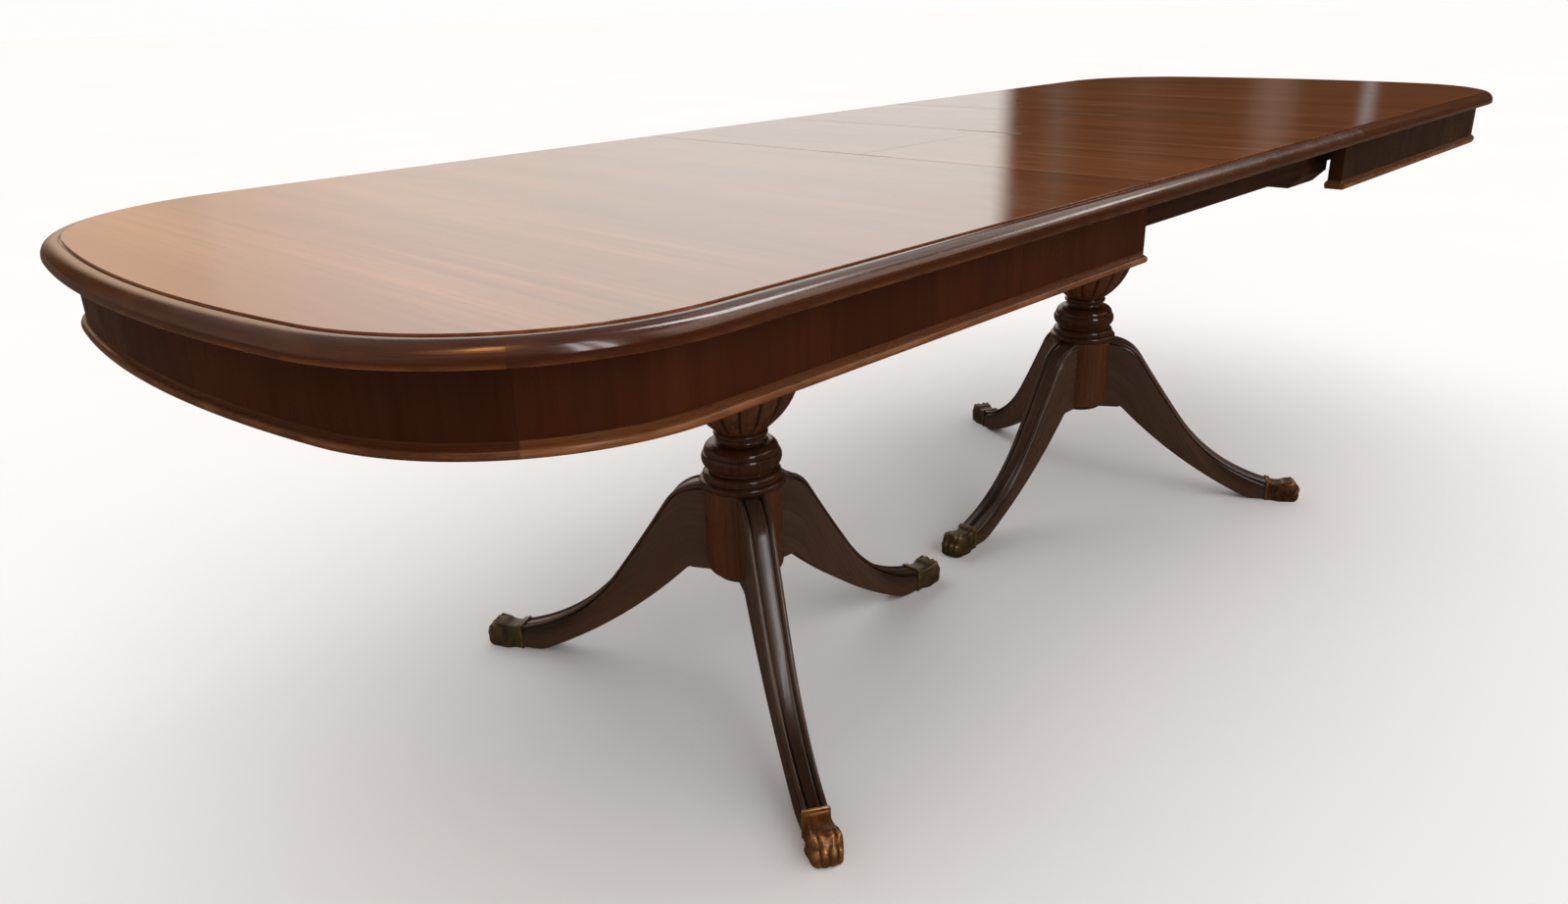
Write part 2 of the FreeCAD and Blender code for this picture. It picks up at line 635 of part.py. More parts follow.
def reed_groove(body):
    """One groove between two reeds, turned about the centre of the urn's curve from shoulder to foot."""
    width, rise = "(dims.urn_radius - dims.urn_foot_radius)", "dims.urn_height"
    spread = 1 / (8 * URN_SHARE) + URN_SHARE / 2
    radius = f"({spread} * sqrt({width}^2 + {rise}^2))"
    set_back = spread - URN_SHARE
    centre = f"((dims.urn_foot_radius + dims.urn_radius) / 2 - {set_back} * {rise})"
    height = f"({RING_TOP} + {rise} / 2 + {set_back} * {width})"
    sketch = new_sketch(body, "XY_Plane", height)
    ends = [FreeCAD.Vector(value(centre), value(f"{sign} * {rise} / 2"), 0) for sign in (-1, 1)]
    axle = sketch.addGeometry(Part.LineSegment(*ends), True)
    middle = FreeCAD.Vector(value(f"{centre} + {radius}"), 0, 0)
    tube = sketch.addGeometry(
        Part.Circle(middle, FreeCAD.Vector(0, 0, 1), value("dims.reed_groove_radius")), False)
    rules = [(Sketcher.Constraint("Symmetric", axle, 1, axle, 2, -1), None),
             (Sketcher.Constraint("PointOnObject", tube, 3, -1), None),
             named_rule("axle_length", rise, "DistanceY", axle, 1, axle, 2),
             named_rule("axle_place", centre, "DistanceX", -1, 1, axle, 1),
             named_rule("tube_place", f"({centre} + {radius})", "DistanceX", -1, 1, tube, 3),
             named_rule("tube_radius", "dims.reed_groove_radius", "Radius", tube)]
    apply_rules(sketch, rules)
    groove = body.newObject("PartDesign::Groove", "reed_groove")
    groove.Profile = sketch
    groove.ReferenceAxis = (sketch, ["Axis0"])
    foot_drop = f"({height} - {RING_TOP} - dims.reed_foot_margin)"
    groove.setExpression("Angle", f"asin({foot_drop} / {radius})")
    return groove


def dovetail(body, room):
    """The plan of a leg's sliding dovetail, with room round it."""
    tip = f"(dims.drum_radius - dims.dovetail_depth - {room})"
    tail = f"(dims.dovetail_tail / 2 + {room})"
    neck = f"(dims.dovetail_neck / 2 + {room})"
    mouth = "(dims.drum_radius + dims.leg_tenon_length)"
    sketch = new_sketch(body, "XY_Plane", "dims.drum_bottom")
    return outline(sketch, [(tip, f"(-1 * {tail})"), ("dims.drum_radius", f"(-1 * {neck})"),
                            (mouth, f"(-1 * {neck})"), (mouth, neck),
                            ("dims.drum_radius", neck), (tip, tail)])


def leg_side(body, offset, drop):
    """The sabre leg's side outline, with its top lowered by a drop."""
    top = f"({DRUM_TOP} - {drop})"
    corners = [(LEG_ROOT, "dims.drum_bottom"), (LEG_FLAT, "dims.drum_bottom", UNDERSIDE_SHARE),
               (LEG_HEEL, "dims.leg_sole_height"), ("dims.leg_reach", "dims.leg_sole_height"),
               ("dims.leg_reach", f"(dims.leg_cuff_height - {drop})", -SWEEP_SHARE),
               (LEG_SHOULDER, f"({LEG_SHOULDER_TOP} - {drop})", SHOULDER_SHARE),
               ("dims.drum_radius", top), (LEG_ROOT, top)]
    return outline(new_sketch(body, "XZ_Plane", offset), corners)


def leg(pedestal, name, along, turn):
    """A sabre leg with a moulded top, a dovetail at the drum and a tenon for the paw."""
    body = new_body(f"{pedestal}_leg_{name}", along, turn)
    pad(body, leg_side(body, "-dims.leg_width / 2", "dims.leg_bead_height"), "dims.leg_width")
    pad(body, leg_side(body, "-dims.leg_band_width / 2", "dims.leg_band_drop"), "dims.leg_band_width")
    for start in ("-dims.leg_cuff_width / 2", "(dims.leg_cuff_width / 2 - dims.leg_bead_width)"):
        pad(body, leg_side(body, start, "0"), "dims.leg_bead_width")
    for side in (-1, 1):
        plan = new_sketch(body, "XY_Plane", DRUM_TOP)
        outline(plan, [("0", f"({side} * dims.leg_width / 2)"),
                       ("dims.drum_radius", f"({side} * dims.leg_width / 2)"),
                       ("dims.leg_reach", f"({side} * dims.leg_cuff_width / 2)"),
                       ("dims.leg_reach", f"({side} * dims.leg_width)"), ("0", f"({side} * dims.leg_width)")])
        pocket(body, plan, DRUM_TOP)
    seat = circle(new_sketch(body, "XY_Plane", DRUM_TOP), DRUM_SEAT)
    pocket(body, seat, DRUM_TOP)
    pad(body, dovetail(body, "0"), "dims.dovetail_height")
    low = "((dims.leg_cuff_height - dims.leg_tenon_height) / 2)"
    end = rectangle(new_sketch(body, "YZ_Plane", "dims.leg_reach"), "-dims.leg_tenon_width / 2", low,
                    "dims.leg_tenon_width / 2", f"({low} + dims.leg_tenon_height)")
    pad(body, end, "dims.leg_tenon_length")


def paw(pedestal, name, along, turn):
    """A cast paw: a cuff over the leg's tenon, a foot and four toes."""
    body = new_body(f"{pedestal}_paw_{name}", along, turn)
    cuff_half = "(dims.leg_cuff_width / 2 + dims.cuff_rise)"
    cuff_end = "(dims.leg_reach + dims.cuff_length)"
    cuff = rectangle(new_sketch(body, "YZ_Plane", "dims.leg_reach"), f"(-1 * {cuff_half})", "0",
                     cuff_half, "(dims.leg_cuff_height + dims.cuff_rise)")
    pad(body, cuff, "dims.cuff_length")
    toe_root = f"({PAW_TIP} - {TOE_TIP_SHARE} * dims.paw_width / {TOE_COUNT})"
    corners = [(cuff_end, "-dims.paw_neck_width / 2", PAW_SIDE_SHARE)]
    for toe in range(TOE_COUNT + 1):
        bend = TOE_TIP_SHARE if toe < TOE_COUNT else PAW_SIDE_SHARE
        corners.append((toe_root, f"({toe} / {TOE_COUNT} - 1 / 2) * dims.paw_width", bend))
    corners.append((cuff_end, "dims.paw_neck_width / 2"))
    pad(body, outline(new_sketch(body, "XY_Plane"), corners), "dims.paw_height")
    above = outline(new_sketch(body, "XZ_Plane", "-dims.paw_width"),
                    [(PAW_KNUCKLE, "dims.paw_height", -TOE_FALL_SHARE), (PAW_TIP, "dims.paw_front_height"),
                     (f"({PAW_TIP} + dims.toe_overrun)", "dims.paw_front_height"),
                     (f"({PAW_TIP} + dims.toe_overrun)", "(dims.paw_height + dims.toe_overrun)"),
                     (PAW_KNUCKLE, "(dims.paw_height + dims.toe_overrun)")])
    pocket(body, above, "2 * dims.paw_width", along_normal=True)
    room = "dims.joint_clearance"
    low = "((dims.leg_cuff_height - dims.leg_tenon_height) / 2)"
    half = f"(dims.leg_tenon_width / 2 + {room})"
    socket = rectangle(new_sketch(body, "YZ_Plane", "dims.leg_reach"), f"(-1 * {half})", f"({low} - {room})",
                       half, f"({low} + dims.leg_tenon_height + {room})")
    pocket(body, socket, f"(dims.leg_tenon_length + {room})", along_normal=True)


def spider_plate(pedestal, along, turn):
    """The three-armed iron plate that ties the legs under the drum."""
    body = new_body(f"{pedestal}_spider_plate", along, turn)
    bottom = "(dims.drum_bottom - dims.spider_thickness)"
    pad(body, circle(new_sketch(body, "XY_Plane", bottom), "dims.spider_radius"), "dims.spider_thickness")
    sketch = rectangle(new_sketch(body, "XY_Plane", bottom), "0", "-dims.spider_arm_width / 2",
                       SPIDER_ARM_TIP, "dims.spider_arm_width / 2")
    arm = pad(body, sketch, "dims.spider_thickness")
    ring_of(body, "arms", arm, (sketch, ["N_Axis"]), len(LEG_NAMES[pedestal]))


def top_block(pedestal, along):
    """The block on the column's spigot, square to the table, with a rounded lower edge."""
    body = new_body(f"{pedestal}_top_block", along)
    half = "dims.block_side / 2"
    square = rectangle(new_sketch(body, "XY_Plane", BLOCK_BOTTOM), f"-{half}", f"-{half}", half, half)
    raised = pad(body, square, "dims.block_height")
    floor = value(BLOCK_BOTTOM)
    round_edges(body, raised, "dims.block_edge_radius", lambda edge: lies_at(edge, "Z", floor))
    bore = circle(new_sketch(body, "XY_Plane", BLOCK_TOP), "dims.spigot_radius + dims.joint_clearance")
    pocket(body, bore, "dims.block_height")


def bearer(pedestal, along):
    """The cross bearer that carries both base runners."""
    body = new_body(f"{pedestal}_bearer", along)
    reach, cut = BASE_RUNNER_OUTER, "dims.bearer_chamfer"
    corners = [(f"(-1 * {reach})", f"({BLOCK_TOP} + {cut})"), (f"(-1 * {reach} + {cut})", BLOCK_TOP),
               (f"({reach} - {cut})", BLOCK_TOP), (reach, f"({BLOCK_TOP} + {cut})"),
               (reach, BEARER_TOP), (f"(-1 * {reach})", BEARER_TOP)]
    pad(body, outline(new_sketch(body, "YZ_Plane", "-dims.bearer_width / 2"), corners), "dims.bearer_width")


def base_runner(side_name, side):
    """A fixed runner with a tongue on each face: the outer for the near half, the inner for the far half."""
    body = new_body(f"base_{side_name}_runner")
    start = "(-dims.base_shift - dims.base_runner_length / 2)"
    finish = "(-dims.base_shift + dims.base_runner_length / 2)"
    outer, inner = f"({side} * {BASE_RUNNER_OUTER})", f"({side} * {BASE_RUNNER_INNER})"
    low, high = sorted((outer, inner), key=value)
    section = rectangle(new_sketch(body, "YZ_Plane", start), low, BEARER_TOP, high,
                        f"({BEARER_TOP} + dims.runner_height)")
    pad(body, section, "dims.base_runner_length")
    tongues = [(outer, side, f"({start} + dims.tongue_margin)", TONGUE_STOP),
               (inner, -side, f"(-1 * {TONGUE_STOP})", f"({finish} - dims.tongue_margin)")]
    for face, outward, first, last in tongues:
        tip = f"({face} + {outward} * dims.tongue_depth)"
        low, high = sorted((face, tip), key=value)
        sketch = rectangle(new_sketch(body, "YZ_Plane", first),
                           low, f"({RUNNER_MIDDLE} - dims.tongue_height / 2)",
                           high, f"({RUNNER_MIDDLE} + dims.tongue_height / 2)")
        pad(body, sketch, f"({last} - {first})")


# The whole table

for half in HALVES:
    top_half(half)
for leaf in LEAVES:
    folding_leaf(leaf)
for pedestal, (along, turn) in PEDESTALS.items():
    column(pedestal, along, turn)
    spider_plate(pedestal, along, turn)
    top_block(pedestal, along)
    bearer(pedestal, along)
    for place, name in enumerate(LEG_NAMES[pedestal]):
        leg_turn = turn + FULL_TURN_DEGREES * place / len(LEG_NAMES[pedestal])
        leg(pedestal, name, along, leg_turn)
        paw(pedestal, name, along, leg_turn)
for side_name, side in (("front", -1), ("back", 1)):
    base_runner(side_name, side)

doc.recompute()
for item in doc.Objects:
    if {"Invalid", "Error"} & set(item.State):
        raise RuntimeError(f"{item.Label} ({item.TypeId}) failed: {item.State}")
os.makedirs("parts", exist_ok=True)
for subpart in subparts:
    if subpart.Shape.isNull() or not subpart.Shape.isValid():
        raise RuntimeError(f"{subpart.Label} has no valid shape")
    subpart.Shape.exportStep(os.path.join("parts", f"{subpart.Label}.step"))
print(len(subparts), "sub-parts written")
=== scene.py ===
"""Looks of a double pedestal dining table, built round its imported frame. Metres, +Z up, +X to the far end."""

import logging
import math
from dataclasses import dataclass, replace
from enum import Enum
from typing import Sequence

import bmesh
import bpy
from mathutils import Matrix, Vector


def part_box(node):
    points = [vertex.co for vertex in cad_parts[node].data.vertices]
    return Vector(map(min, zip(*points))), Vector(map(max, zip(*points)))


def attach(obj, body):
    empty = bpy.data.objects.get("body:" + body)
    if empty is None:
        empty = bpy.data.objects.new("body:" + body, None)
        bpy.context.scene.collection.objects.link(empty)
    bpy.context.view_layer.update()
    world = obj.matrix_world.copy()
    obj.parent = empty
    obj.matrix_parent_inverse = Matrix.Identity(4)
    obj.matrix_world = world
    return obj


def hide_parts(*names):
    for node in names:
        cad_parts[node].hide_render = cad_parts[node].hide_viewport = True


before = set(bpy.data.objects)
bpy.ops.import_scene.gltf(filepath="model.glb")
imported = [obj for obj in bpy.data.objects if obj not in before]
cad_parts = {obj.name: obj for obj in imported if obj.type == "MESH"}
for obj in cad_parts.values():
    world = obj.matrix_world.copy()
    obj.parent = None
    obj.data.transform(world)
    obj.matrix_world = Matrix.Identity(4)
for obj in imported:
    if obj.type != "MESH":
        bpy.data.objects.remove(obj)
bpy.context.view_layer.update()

log = logging.getLogger("dining_table")

Colour = tuple[float, float, float]
Point = tuple[float, float]
Triple = tuple[float, float, float]

SIDES = {"front": -1.0, "back": 1.0}
HALVES = {"near": -1.0, "far": 1.0}
LEG_NAMES = {"near": ("inner", "back", "front"), "far": ("inner", "front", "back")}
PEDESTAL_TURNS = {"near": math.radians(-3.0), "far": math.pi}
FULL_TURN = 2 * math.pi


# Drawing and meshing

class Outline:
    """A line of points in a plane, drawn from straight and round stretches."""

    def __init__(self, x: float, y: float) -> None:
        """Starts the line at one point."""
        self.points: list[Point] = [(x, y)]

    def line(self, x: float, y: float) -> "Outline":
        """Goes straight to a point."""
        self.points.append((x, y))
        return self

    def arc(self, x: float, y: float, bulge: float, steps: int = 8) -> "Outline":
        """Goes to a point on an arc.

        Args:
            x: Where the arc ends.
            y: Where the arc ends.
            bulge: Height of the arc as a share of its chord, to the right of the way along.
            steps: Stretches that the arc is drawn with.

        Returns:
            The outline itself.
        """
        start, end = Vector(self.points[-1]), Vector((x, y))
        along = (end - start).normalized()
        side = Vector((along.y, -along.x)) * math.copysign(1, bulge)
        half_turn = 2 * math.atan(2 * abs(bulge))
        radius = (end - start).length / (2 * math.sin(half_turn))
        centre = (start + end) / 2 - side * radius * math.cos(half_turn)
        for step in range(1, steps + 1):
            turn = half_turn * (2 * step / steps - 1)
            point = centre + radius * (math.sin(turn) * along + math.cos(turn) * side)
            self.points.append((point.x, point.y))
        return self

    def at(self, share: float) -> Vector:
        """Finds a place along the line.

        Args:
            share: How far along, as a share of the line's length.

        Returns:
            The point there.
        """
        points = [Vector(point) for point in self.points]
        lengths = [(b - a).length for a, b in zip(points, points[1:])]
        left = share * sum(lengths)
        for start, end, length in zip(points, points[1:], lengths):
            if left <= length and length > 0:
                return start.lerp(end, left / length)
            left -= length
        return points[-1]


def smooth_step(low: float, high: float, value: float) -> float:
    """How far a value has come from low to high, easing in and out."""
    share = min(max((value - low) / (high - low), 0.0), 1.0)
    return share * share * (3 - 2 * share)


def running_lengths(points: Sequence[Vector]) -> list[float]:
    """Measures along a line of points.

    Args:
        points: The line's points in order.

    Returns:
        The distance from the first point to each of them.
    """
    lengths = [0.0]
    for start, end in zip(points, points[1:]):
        lengths.append(lengths[-1] + (end - start).length)
    return lengths


@dataclass
class Loft:
    """Closed rings of points joined into one capped skin, with its length and girth as UV in metres."""

    rings: list[list[Vector]]
    wear_and_shade: list[list[float]]
    crease_degrees: float = 38.0

    def build(self, name: str) -> bpy.types.Object:
        """Makes the mesh object.

        Args:
            name: The piece's name.

        Returns:
            The new object, linked to the scene.
        """
        count, rows = len(self.rings[0]), len(self.rings)
        along = running_lengths([sum(ring, Vector()) / count for ring in self.rings])
        around = [running_lengths([*ring, ring[0]]) for ring in self.rings]
        faces, places = [], []
        for row in range(rows - 1):
            for column in range(count):
                corners = ((row, column), (row, column + 1), (row + 1, column + 1), (row + 1, column))
                faces.append([r * count + c % count for r, c in corners])
                places.extend((along[r], around[r][c]) for r, c in corners)
        for row in (0, rows - 1):
            faces.append([row * count + column for column in range(count)])
            places.extend((along[row], around[row][column]) for column in range(count))
        mesh = bpy.data.meshes.new(name)
        mesh.from_pydata([point for ring in self.rings for point in ring], [], faces)
        mesh.uv_layers.new(name="grain").data.foreach_set("uv", [part for place in places for part in place])
        # Above zero this is wear; below zero it is a real stain in places, and painted shade in grooves and
        # quirks.
        worn = mesh.attributes.new("wear_and_shade", "FLOAT", "POINT")
        worn.data.foreach_set("value", [value for ring in self.wear_and_shade for value in ring])
        return finish_mesh(name, mesh, self.crease_degrees)


def finish_mesh(name: str, mesh: bpy.types.Mesh, crease_degrees: float) -> bpy.types.Object:
    """Turns a mesh's faces outward, shades it and links it as an object.

    Args:
        name: The piece's name.
        mesh: The mesh to finish.
        crease_degrees: Edges sharper than this stay crisp.

    Returns:
        The new object.
    """
    work = bmesh.new()
    work.from_mesh(mesh)
    bmesh.ops.recalc_face_normals(work, faces=work.faces)
    work.to_mesh(mesh)
    work.free()
    mesh.shade_smooth()
    mesh.set_sharp_from_angle(angle=math.radians(crease_degrees))
    piece = bpy.data.objects.new(name, mesh)
    bpy.context.scene.collection.objects.link(piece)
    return piece


def place_piece(piece: bpy.types.Object, body: str, slot: str, material: bpy.types.Material,
                *nodes: str) -> None:
    """Dresses a new piece, sets it on its body and hides the CAD nodes that it replaces.

    Args:
        piece: The new object.
        body: The CAD body that it moves with.
        slot: The name of a material slot; not used.
        material: Its finish.
        *nodes: The CAD nodes that it replaces.
    """
    piece.data.materials.append(material)
    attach(piece, body)
    if nodes:
        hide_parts(*nodes)
    log.info("%s on %s: %d faces", piece.name, body, len(piece.data.polygons))


# Finishes

class Grain(Enum):
    """Which way a wood's grain runs: along an axis of the table, or along the piece itself."""

    ALONG_X = "XYZ"
    ALONG_Y = "YXZ"
    ALONG_Z = "ZXY"
    ALONG_PIECE = "UV"


class NodeBoard:
    """Adds and joins the nodes of one material or world."""

    COLOUR_FACTOR, COLOUR_A, COLOUR_B, COLOUR_OUT = 0, 6, 7, 2
    RELIEF_DEPTH = 0.0004

    def __init__(self, tree: bpy.types.NodeTree) -> None:
        """Clears a node tree to start afresh."""
        self.tree = tree
        tree.nodes.clear()

    def add(self, kind: str, **settings: object) -> bpy.types.Node:
        """Adds a node and sets its options.

        Args:
            kind: The node's type.
            **settings: Its options by name.

        Returns:
            The new node.
        """
        node = self.tree.nodes.new(kind)
        for name, value in settings.items():
            setattr(node, name, value)
        return node

    def feed(self, node: bpy.types.Node, socket: str | int, value: object) -> None:
        """Joins an output to a node's input, or sets the input to a value.

        Args:
            node: The node that is fed.
            socket: Its input, by name or place.
            value: The output or the value.
        """
        if isinstance(value, bpy.types.NodeSocket):
            self.tree.links.new(value, node.inputs[socket])
        else:
            node.inputs[socket].default_value = value

    def maths(self, operation: str, first: object, second: object = 0.0,
              clamp: bool = False) -> bpy.types.NodeSocket:
        """Works out one or two values.

        Args:
            operation: The name of the sum.
            first: An output or a number.
            second: An output or a number.
            clamp: Whether the result is held between 0 and 1.

        Returns:
            The result.
        """
        node = self.add("ShaderNodeMath", operation=operation, use_clamp=clamp)
        self.feed(node, 0, first)
        self.feed(node, 1, second)
        return node.outputs[0]

    def weighted(self, *terms: tuple[bpy.types.NodeSocket, float]) -> bpy.types.NodeSocket:
        """Adds two outputs up, each times its weight."""
        return self.maths("ADD", *(self.maths("MULTIPLY", output, weight) for output, weight in terms))

    def spread(self, value: object, low: float, high: float, to_low: float = 0.0, to_high: float = 1.0,
               smooth: bool = True) -> bpy.types.NodeSocket:
        """Takes a value from one range to another, held at the ends.

        Args:
            value: The output to take.
            low: Where the first range starts.
            high: Where the first range ends.
            to_low: What low becomes.
            to_high: What high becomes.
            smooth: Whether the way between eases in and out.

        Returns:
            The value in its new range.
        """
        node = self.add("ShaderNodeMapRange", interpolation_type="SMOOTHSTEP" if smooth else "LINEAR")
        for socket, number in enumerate((value, low, high, to_low, to_high)):
            self.feed(node, socket, number)
        return node.outputs[0]

    def blend(self, share: object, first: object, second: object) -> bpy.types.NodeSocket:
        """Mixes two colours.

        Args:
            share: How much of the second there is.
            first: A colour or an output.
            second: A colour or an output.

        Returns:
            The mixed colour.
        """
        node = self.add("ShaderNodeMix", data_type="RGBA", blend_type="MIX")
        self.feed(node, self.COLOUR_FACTOR, share)
        for socket, colour in ((self.COLOUR_A, first), (self.COLOUR_B, second)):
            self.feed(node, socket, (*colour, 1.0) if isinstance(colour, tuple) else colour)
        return node.outputs[self.COLOUR_OUT]

    def ramp(self, share: object, stops: Sequence[tuple[float, Colour]]) -> bpy.types.NodeSocket:
        """Picks from a run of colours.

        Args:
            share: How far along the run.
            stops: The run's places and colours.

        Returns:
            The colour there.
        """
        node = self.add("ShaderNodeValToRGB")
        elements = node.color_ramp.elements
        while len(elements) < len(stops):
            elements.new(1.0)
        for element, (place, colour) in zip(elements, stops):
            element.position = place
            element.color = (*colour, 1.0)
        self.feed(node, 0, share)
        return node.outputs["Color"]

    def noise(self, place: object, scale: Triple, detail: float,
              distortion: float = 0.0) -> bpy.types.NodeSocket:
        """Makes cloudy noise.

        Args:
            place: The coordinates.
            scale: How fine the noise is along each axis.
            detail: How many finer layers it has.
            distortion: How much it swirls.

        Returns:
            The noise, about 0 to 1.
        """
        stretched = self.add("ShaderNodeMapping")
        self.feed(stretched, "Vector", place)
        stretched.inputs["Scale"].default_value = scale
        node = self.add("ShaderNodeTexNoise")
        self.feed(node, "Vector", stretched.outputs[0])
        self.feed(node, "Scale", 1.0)
        self.feed(node, "Detail", detail)
        self.feed(node, "Distortion", distortion)
        return node.outputs[0]

    def grain_place(self, grain: Grain, seed: float) -> bpy.types.NodeSocket:
        """Lays coordinates out for a grain.

        Args:
            grain: Which way the first axis runs.
            seed: How far the coordinates are shifted, so that no two pieces look alike.

        Returns:
            The coordinates, in metres.
        """
        coordinates = self.add("ShaderNodeTexCoord")
        if grain is Grain.ALONG_PIECE:
            place = coordinates.outputs["UV"]
        else:
            parts = self.add("ShaderNodeSeparateXYZ")
            self.feed(parts, 0, coordinates.outputs["Object"])
            turned = self.add("ShaderNodeCombineXYZ")
            for socket, axis in enumerate(grain.value):
                self.feed(turned, socket, parts.outputs[axis])
            place = turned.outputs[0]
        shifted = self.add("ShaderNodeMapping")
        self.feed(shifted, "Vector", place)
        shifted.inputs["Location"].default_value = (seed * 1.7, seed * 0.61, seed * 0.37)
        return shifted.outputs[0]

    def relief(self, height: bpy.types.NodeSocket, strength: float) -> bpy.types.NodeSocket:
        """Raises a surface by a height.

        Args:
            height: The height, where 1 is the whole of RELIEF_DEPTH.
            strength: How much of it shows.

        Returns:
            The normal of the raised surface.
        """
        bump = self.add("ShaderNodeBump")
        self.feed(bump, "Height", height)
        self.feed(bump, "Strength", strength)
        self.feed(bump, "Distance", self.RELIEF_DEPTH)
        return bump.outputs[0]

    def surface(self, **inputs: object) -> None:
        """Dresses the material in one shader.

        Args:
            **inputs: What its sockets get, with an underscore for each space in a socket's name.
        """
        shader = self.add("ShaderNodeBsdfPrincipled")
        for name, value in inputs.items():
            self.feed(shader, name.replace("_", " "), value)
        self.feed(self.add("ShaderNodeOutputMaterial"), "Surface", shader.outputs[0])


@dataclass(frozen=True)
class Finish:
    """A finish that becomes one node material at its first use."""

    name: str

    def material(self) -> bpy.types.Material:
        """Gives the finish as a material.

        Returns:
            The material of this name.
        """
        made = bpy.data.materials.get(self.name)
        if not made:
            made = bpy.data.materials.new(self.name)
            made.use_nodes = True
            self.paint(NodeBoard(made.node_tree))
        return made

    def paint(self, board: NodeBoard) -> None:
        """Lays the finish's nodes out on a board."""
        raise NotImplementedError


@dataclass(frozen=True)
class WoodFinish(Finish):
    """French polished mahogany: a figured colour, dark pores, rubbed edges and a clear coat.

    The mesh attribute named wear_and_shade rubs the wood toward its worn colour above 0, and below 0 it darkens
    the
    wood toward the colour of its pores: a real stain in places, and painted shade in grooves, quirks and toward
    leg feet.
    """

    dark: Colour
    middle: Colour
    light: Colour
    tint: Colour
    pore: Colour
    worn: Colour
    grain: Grain
    figure: Triple = (1.1, 13.0, 13.0)
    streak: Triple = (2.6, 150.0, 150.0)
    pores: Triple = (38.0, 900.0, 900.0)
    pore_depth: float = 0.5
    smooth: float = 0.16
    rough: float = 0.30
    specular: float = 0.5
    coat: float = 0.0
    coat_roughness: float = 0.08
    relief: float = 0.16
    swirl: float = 0.7
    seed: float = 0.0

    def paint(self, board: NodeBoard) -> None:
        """Lays the wood's nodes out on a board.

        Args:
            board: The material's own board.
        """
        place = board.grain_place(self.grain, self.seed)
        figure = board.noise(place, self.figure, 5.0, self.swirl)
        streak = board.noise(place, self.streak, 3.0)
        blotch = board.noise(place, (1.7, 4.3, 4.3), 2.0)
        pores = board.spread(board.noise(place, self.pores, 2.0), 0.57, 0.68)
        share = board.weighted((figure, 0.55), (streak, 0.45))
        colour = board.ramp(share, ((0.34, self.dark), (0.5, self.middle), (0.66, self.light)))
        colour = board.blend(board.spread(blotch, 0.40, 0.72, 0.0, 0.55), colour, self.tint)
        colour = board.blend(board.maths("MULTIPLY", pores, self.pore_depth), colour, self.pore)
        rubbed = board.add("ShaderNodeAttribute", attribute_name="wear_and_shade").outputs["Fac"]
        patchy = board.spread(board.noise(place, (23.0, 60.0, 60.0), 3.0), 0.35, 0.7, 0.15, 0.9)
        colour = board.blend(board.maths("MULTIPLY", rubbed, patchy, clamp=True), colour, self.worn)
        # Below zero the wood goes toward its pore colour: a real stain in places, and painted shade in grooves,
        # quirks and toward leg feet.
        colour = board.blend(board.maths("MULTIPLY", rubbed, -0.85, clamp=True), colour, self.pore)
        handled = board.noise(place, (9.0, 15.0, 15.0), 6.0, 1.2)
        rough = board.weighted((handled, 0.75), (streak, 0.25))
        rough = board.spread(rough, 0.35, 0.68, self.smooth, self.rough)
        skin = board.noise(place, (70.0, 240.0, 240.0), 2.0)
        height = board.weighted((skin, 0.22), (pores, -0.55))
        board.surface(Base_Color=colour, Roughness=rough, Normal=board.relief(height, self.relief),
                      Specular_IOR_Level=self.specular, Coat_Weight=self.coat,
                      Coat_Roughness=self.coat_roughness)


@dataclass(frozen=True)
class MetalFinish(Finish):
    """Old metal with pits and scratches, dull in general.

    The mesh attribute named wear_and_shade rubs the metal bright above 0 and fills it with grime below.
    """

    patina: Colour
    body: Colour
    bright: Colour
    metallic: float
    smooth: float
    rough: float
    grime: Colour = (0.014, 0.010, 0.005)
    relief: float = 0.3
    seed: float = 0.0

    def paint(self, board: NodeBoard) -> None:
        """Lays the metal's nodes out on a board.

        Args:
            board: The material's own board.
        """
        place = board.grain_place(Grain.ALONG_Z, self.seed)
        cloud = board.noise(place, (60.0, 60.0, 60.0), 5.0, 0.8)
        pits = board.spread(board.noise(place, (520.0, 520.0, 520.0), 3.0), 0.56, 0.70)
        scratch = board.noise(place, (900.0, 70.0, 240.0), 3.0)
        colour = board.blend(board.spread(cloud, 0.36, 0.66), self.patina, self.body)
        worn = board.add("ShaderNodeAttribute", attribute_name="wear_and_shade").outputs["Fac"]
        rubbed = board.maths("MULTIPLY", worn, board.spread(scratch, 0.3, 0.65, 0.35, 1.0), clamp=True)
        colour = board.blend(rubbed, colour, self.bright)
        colour = board.blend(board.maths("MULTIPLY", pits, 0.6), colour, self.patina)
        colour = board.blend(board.maths("MULTIPLY", worn, -0.8, clamp=True), colour, self.grime)
        rough = board.weighted((cloud, 1.0), (rubbed, -0.3))
        rough = board.spread(rough, 0.2, 0.7, self.smooth, self.rough)
        height = board.weighted((scratch, 0.3), (pits, -1.0))
        board.surface(Base_Color=colour, Roughness=rough, Metallic=self.metallic,
                      Normal=board.relief(height, self.relief))


